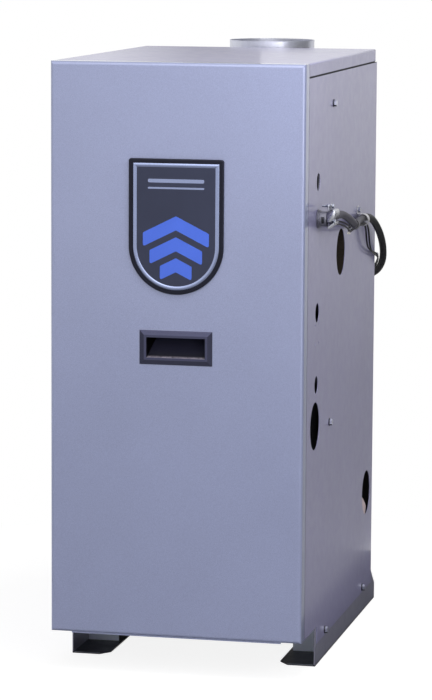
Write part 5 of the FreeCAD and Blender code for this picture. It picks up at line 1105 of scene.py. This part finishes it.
def build_hood_details():
    builder = bmesh.new()
    hem = HOOD_HALF + HEM_RISE
    outline = bar(HOOD_REAR - REAR_HEM_SEAT, HOOD_REAR + HEM_RISE, *HEM_HEIGHTS, REAR_HEM_CORNER)
    prism(builder, outline, -hem, hem, HEM_CHAMFER, side_plane)
    outline = bar(-TOP_LAP_HALF, TOP_LAP_HALF, *TOP_LAP_HEIGHTS, LAP_CORNER)
    prism(builder, outline, HOOD_REAR - LAP_SEAT, HOOD_REAR + LAP_RISE, LAP_CHAMFER)
    for side in (-1, 1):
        low, high = sorted((side * (HOOD_HALF - SIDE_HEM_SEAT), side * hem))
        prism(builder, bar(low, high, *HEM_HEIGHTS, SIDE_HEM_CORNER), *SIDE_HEM_DEPTHS, HEM_CHAMFER)
        low, high = sorted((side * (HOOD_HALF - LAP_SEAT), side * (HOOD_HALF + LAP_RISE)))
        outline = bar(*SIDE_LAP_DEPTHS, *SIDE_LAP_HEIGHTS, LAP_CORNER)
        prism(builder, outline, low, high, LAP_CHAMFER, side_plane)
    add_piece("hood_laps", builder, "galvanised")

    builder = bmesh.new()
    for side in (-1, 1):
        profile = shaped(RIVET_SHAPE, HOOD_HALF + LAP_RISE, RIVET_RADIUS)
        profile = [(side * level, radius) for level, radius in profile]
        for height in RIVET_HEIGHTS:
            lathe(builder, profile, (sum(SIDE_LAP_DEPTHS) / 2, height), side_plane, RIVET_SEGMENTS)
    profile = shaped(RIVET_SHAPE, HOOD_REAR + LAP_RISE, RIVET_RADIUS)
    for across in RIVET_ACROSS:
        lathe(builder, profile, (across, sum(TOP_LAP_HEIGHTS) / 2), segments=RIVET_SEGMENTS)
    add_piece("hood_rivets", builder, "pilot_aluminium")

    beads = [bar(x - BEAD_HALF, x + BEAD_HALF, low, high, BEAD_CORNER) for x, low, high in UPRIGHT_BEADS]
    beads += [bar(-half, half, z - BEAD_HALF, z + BEAD_HALF, BEAD_CORNER) for z, half in LEVEL_BEADS]
    plates("rear_beads", "galvanised", beads, *BEAD_LEVELS, BEAD_CHAMFER)


build_collar_rim()
build_hood_details()


# A corner of pale lining that hangs behind the return hole

FLAP_OUTLINE = [
    (0.118, 0.16), (0.15, 0.158), (0.17, 0.165), (0.178, 0.175), (0.1826, 0.1865), (0.176, 0.1925),
    (0.164, 0.199), (0.152, 0.2055), (0.14, 0.2105), (0.118, 0.2125),
]
FLAP_CORNER = 0.003
FLAP_SPAN = (0.2036, 0.2066)
FLAP_CHAMFER = 0.0008

plates("lining_flap", "lining_fibre", [rounded(FLAP_OUTLINE, FLAP_CORNER)], *FLAP_SPAN, FLAP_CHAMFER,
       place=side_plane)


# Stage: white room, pale floor, soft lights

AMBIENT = 0.24
FLOOR_HALF = 7.0
FLOOR_TONE = (0.93, 0.93, 0.93, 1.0)
FLOOR_GLOW_NEAR = 0.7
FLOOR_GLOW_LEVEL = 1.25
SHADOW_REACH = (0.5, 1.0)


def seen_directly(shading):
    """One where the camera, a mirror or glass looks, else nought."""
    rays = shading.node("LightPath")
    seen = shading.most(rays["Is Camera Ray"], rays["Is Glossy Ray"])
    return shading.most(seen, rays["Is Transmission Ray"])


def build_world():
    world = bpy.data.worlds.new("white_room")
    SCENE.world = world
    world.use_nodes = True
    shading = Shading(world.node_tree)
    background = world.node_tree.nodes["Background"].inputs
    shading.feed(background["Color"], WHITE)
    shading.feed(background["Strength"], shading.spread(seen_directly(shading), 0.0, 1.0, AMBIENT, 1.0))


def flat_sheet(name, extent, level, place):
    """A stage plane with a bare node tree for its surface."""
    mesh = bpy.data.meshes.new(name)
    mesh.from_pydata([place(u, v, level) for u, v in bar(*extent)], [], [(0, 1, 2, 3)])
    sheet = bpy.data.objects.new(name, mesh)
    SCENE.collection.objects.link(sheet)
    material = bpy.data.materials.new(name)
    material.use_nodes = True
    material.node_tree.nodes.remove(material.node_tree.nodes["Principled BSDF"])
    mesh.materials.append(material)
    return sheet, Shading(material.node_tree)


def cover(shading, surface):
    shading.feed(shading.tree.nodes["Material Output"].inputs["Surface"], surface)


def build_floor():
    """A pale floor that shows white away from the object and keeps its shadow close to it."""
    extent = (-FLOOR_HALF, FLOOR_HALF, -FLOOR_HALF, FLOOR_HALF)
    shading = flat_sheet("floor", extent, 0.0, ground_plane)[1]
    place = shading.node("NewGeometry")["Position"]
    distance = shading.node("VectorMath", {0: place}, operation="LENGTH")["Value"]
    share = shading.spread(distance, *SHADOW_REACH, FLOOR_GLOW_NEAR)
    level = shading.spread(distance, *SHADOW_REACH, FLOOR_GLOW_LEVEL)
    diffuse = shading.node("BsdfDiffuse", {"Color": FLOOR_TONE})[0]
    glow = shading.node("Emission", {"Strength": level})[0]
    seen = shading.times(seen_directly(shading), share)
    cover(shading, shading.node("MixShader", {0: seen, 1: diffuse, 2: glow})[0])


def reflection_card(name, place, extent, level, tones, axis="Z", span=(0.0, 1.2)):
    """A grey studio card that only shows in reflections, shaded along one axis."""
    card, shading = flat_sheet(name, extent, level, place)
    card.visible_camera = False
    card.visible_diffuse = False
    card.visible_shadow = False
    card.visible_transmission = False
    spot = shading.component(shading.node("NewGeometry")["Position"], axis)
    cover(shading, shading.node("Emission", {"Strength": shading.spread(spot, *span, *tones)})[0])


def soft_light(name, place, target, size, watts, mirrored=True):
    """A round studio light, left out of reflections where asked."""
    data = bpy.data.lights.new(name, "AREA")
    data.shape = "DISK"
    data.size = size
    data.energy = watts
    lamp = bpy.data.objects.new(name, data)
    lamp.location = place
    lamp.rotation_euler = (Vector(target) - Vector(place)).to_track_quat("-Z", "Y").to_euler()
    lamp.visible_glossy = mirrored
    SCENE.collection.objects.link(lamp)


build_world()
build_floor()
reflection_card("wall_card", front_plane, extent=(0.3, 4.0, 0.0, 2.6), level=3.0, tones=(0.3, 1.0))
reflection_card("floor_card", ground_plane, extent=(0.302, 4.0, -1.5, 3.0), level=0.002, tones=(0.3, 0.3))
reflection_card("front_card", ground_plane, extent=(-2.2, 2.2, -6.8, -0.43), level=0.003, tones=(1.0, 0.5),
                axis="Y", span=(-6.6, -2.4))
reflection_card("shade_card", ground_plane, extent=(-0.302, 0.302, -0.43, 0.7), level=0.001,
                tones=(0.02, 0.02))
reflection_card("side_card", side_plane, extent=(-1.3, 2.4, 0.0, 1.3), level=2.2, tones=(0.15, 0.15))
reflection_card("lid_card", front_plane, extent=(-0.9, -0.481, 1.0, 1.4), level=2.5, tones=(1.0, 0.4),
                axis="X", span=(-0.89, -0.65))
soft_light("overhead_left_light", (-0.5, -1.9, 2.4), (0.0, -0.3, 0.8), size=3.0, watts=8.5)
soft_light("overhead_right_light", (0.75, -1.45, 2.1), (0.1, -0.2, 0.85), size=3.2, watts=28.5)
soft_light("edge_light", (1.9, -2.5, 0.85), (0.2, -0.4, 0.85), size=0.7, watts=6.0)
soft_light("corner_light", (0.42, -0.75, 1.25), (0.2, -0.41, 0.9), size=0.3, watts=1.8, mirrored=False)
soft_light("front_light", (-0.6, -4.2, 2.4), (0.0, -0.2, 0.5), size=2.2, watts=3.5)
soft_light("side_light", (3.2, -0.4, 2.4), (0.2, 0.0, 0.8), size=3.2, watts=12.0)
SCENE.view_settings.view_transform = "Standard"

# Finishes and softened edges of the carried-over CAD nodes
PULL_EDGE = 0.0007
BADGE_EDGE = 0.0003
SHEET_EDGE = 0.0004
for subpart in frame["record"]["subparts"]:
    dress(NODES[subpart["node"]], subpart["material_slot"])
# The partition and the rear panel carry painted shade on their inside faces
for name in ("partition", "rear_panel"):
    dress(NODES[name], "shaded_zinc")
dress(NODES["cabinet_screws"], "screw_zinc")
soften(NODES["door_pull"], PULL_EDGE, angle=20)
soften(NODES["badge_face"], BADGE_EDGE)
for name in ("top_panel", "left_side_panel", "right_side_panel", "left_foot_rail", "right_foot_rail"):
    soften(NODES[name], SHEET_EDGE, angle=40)
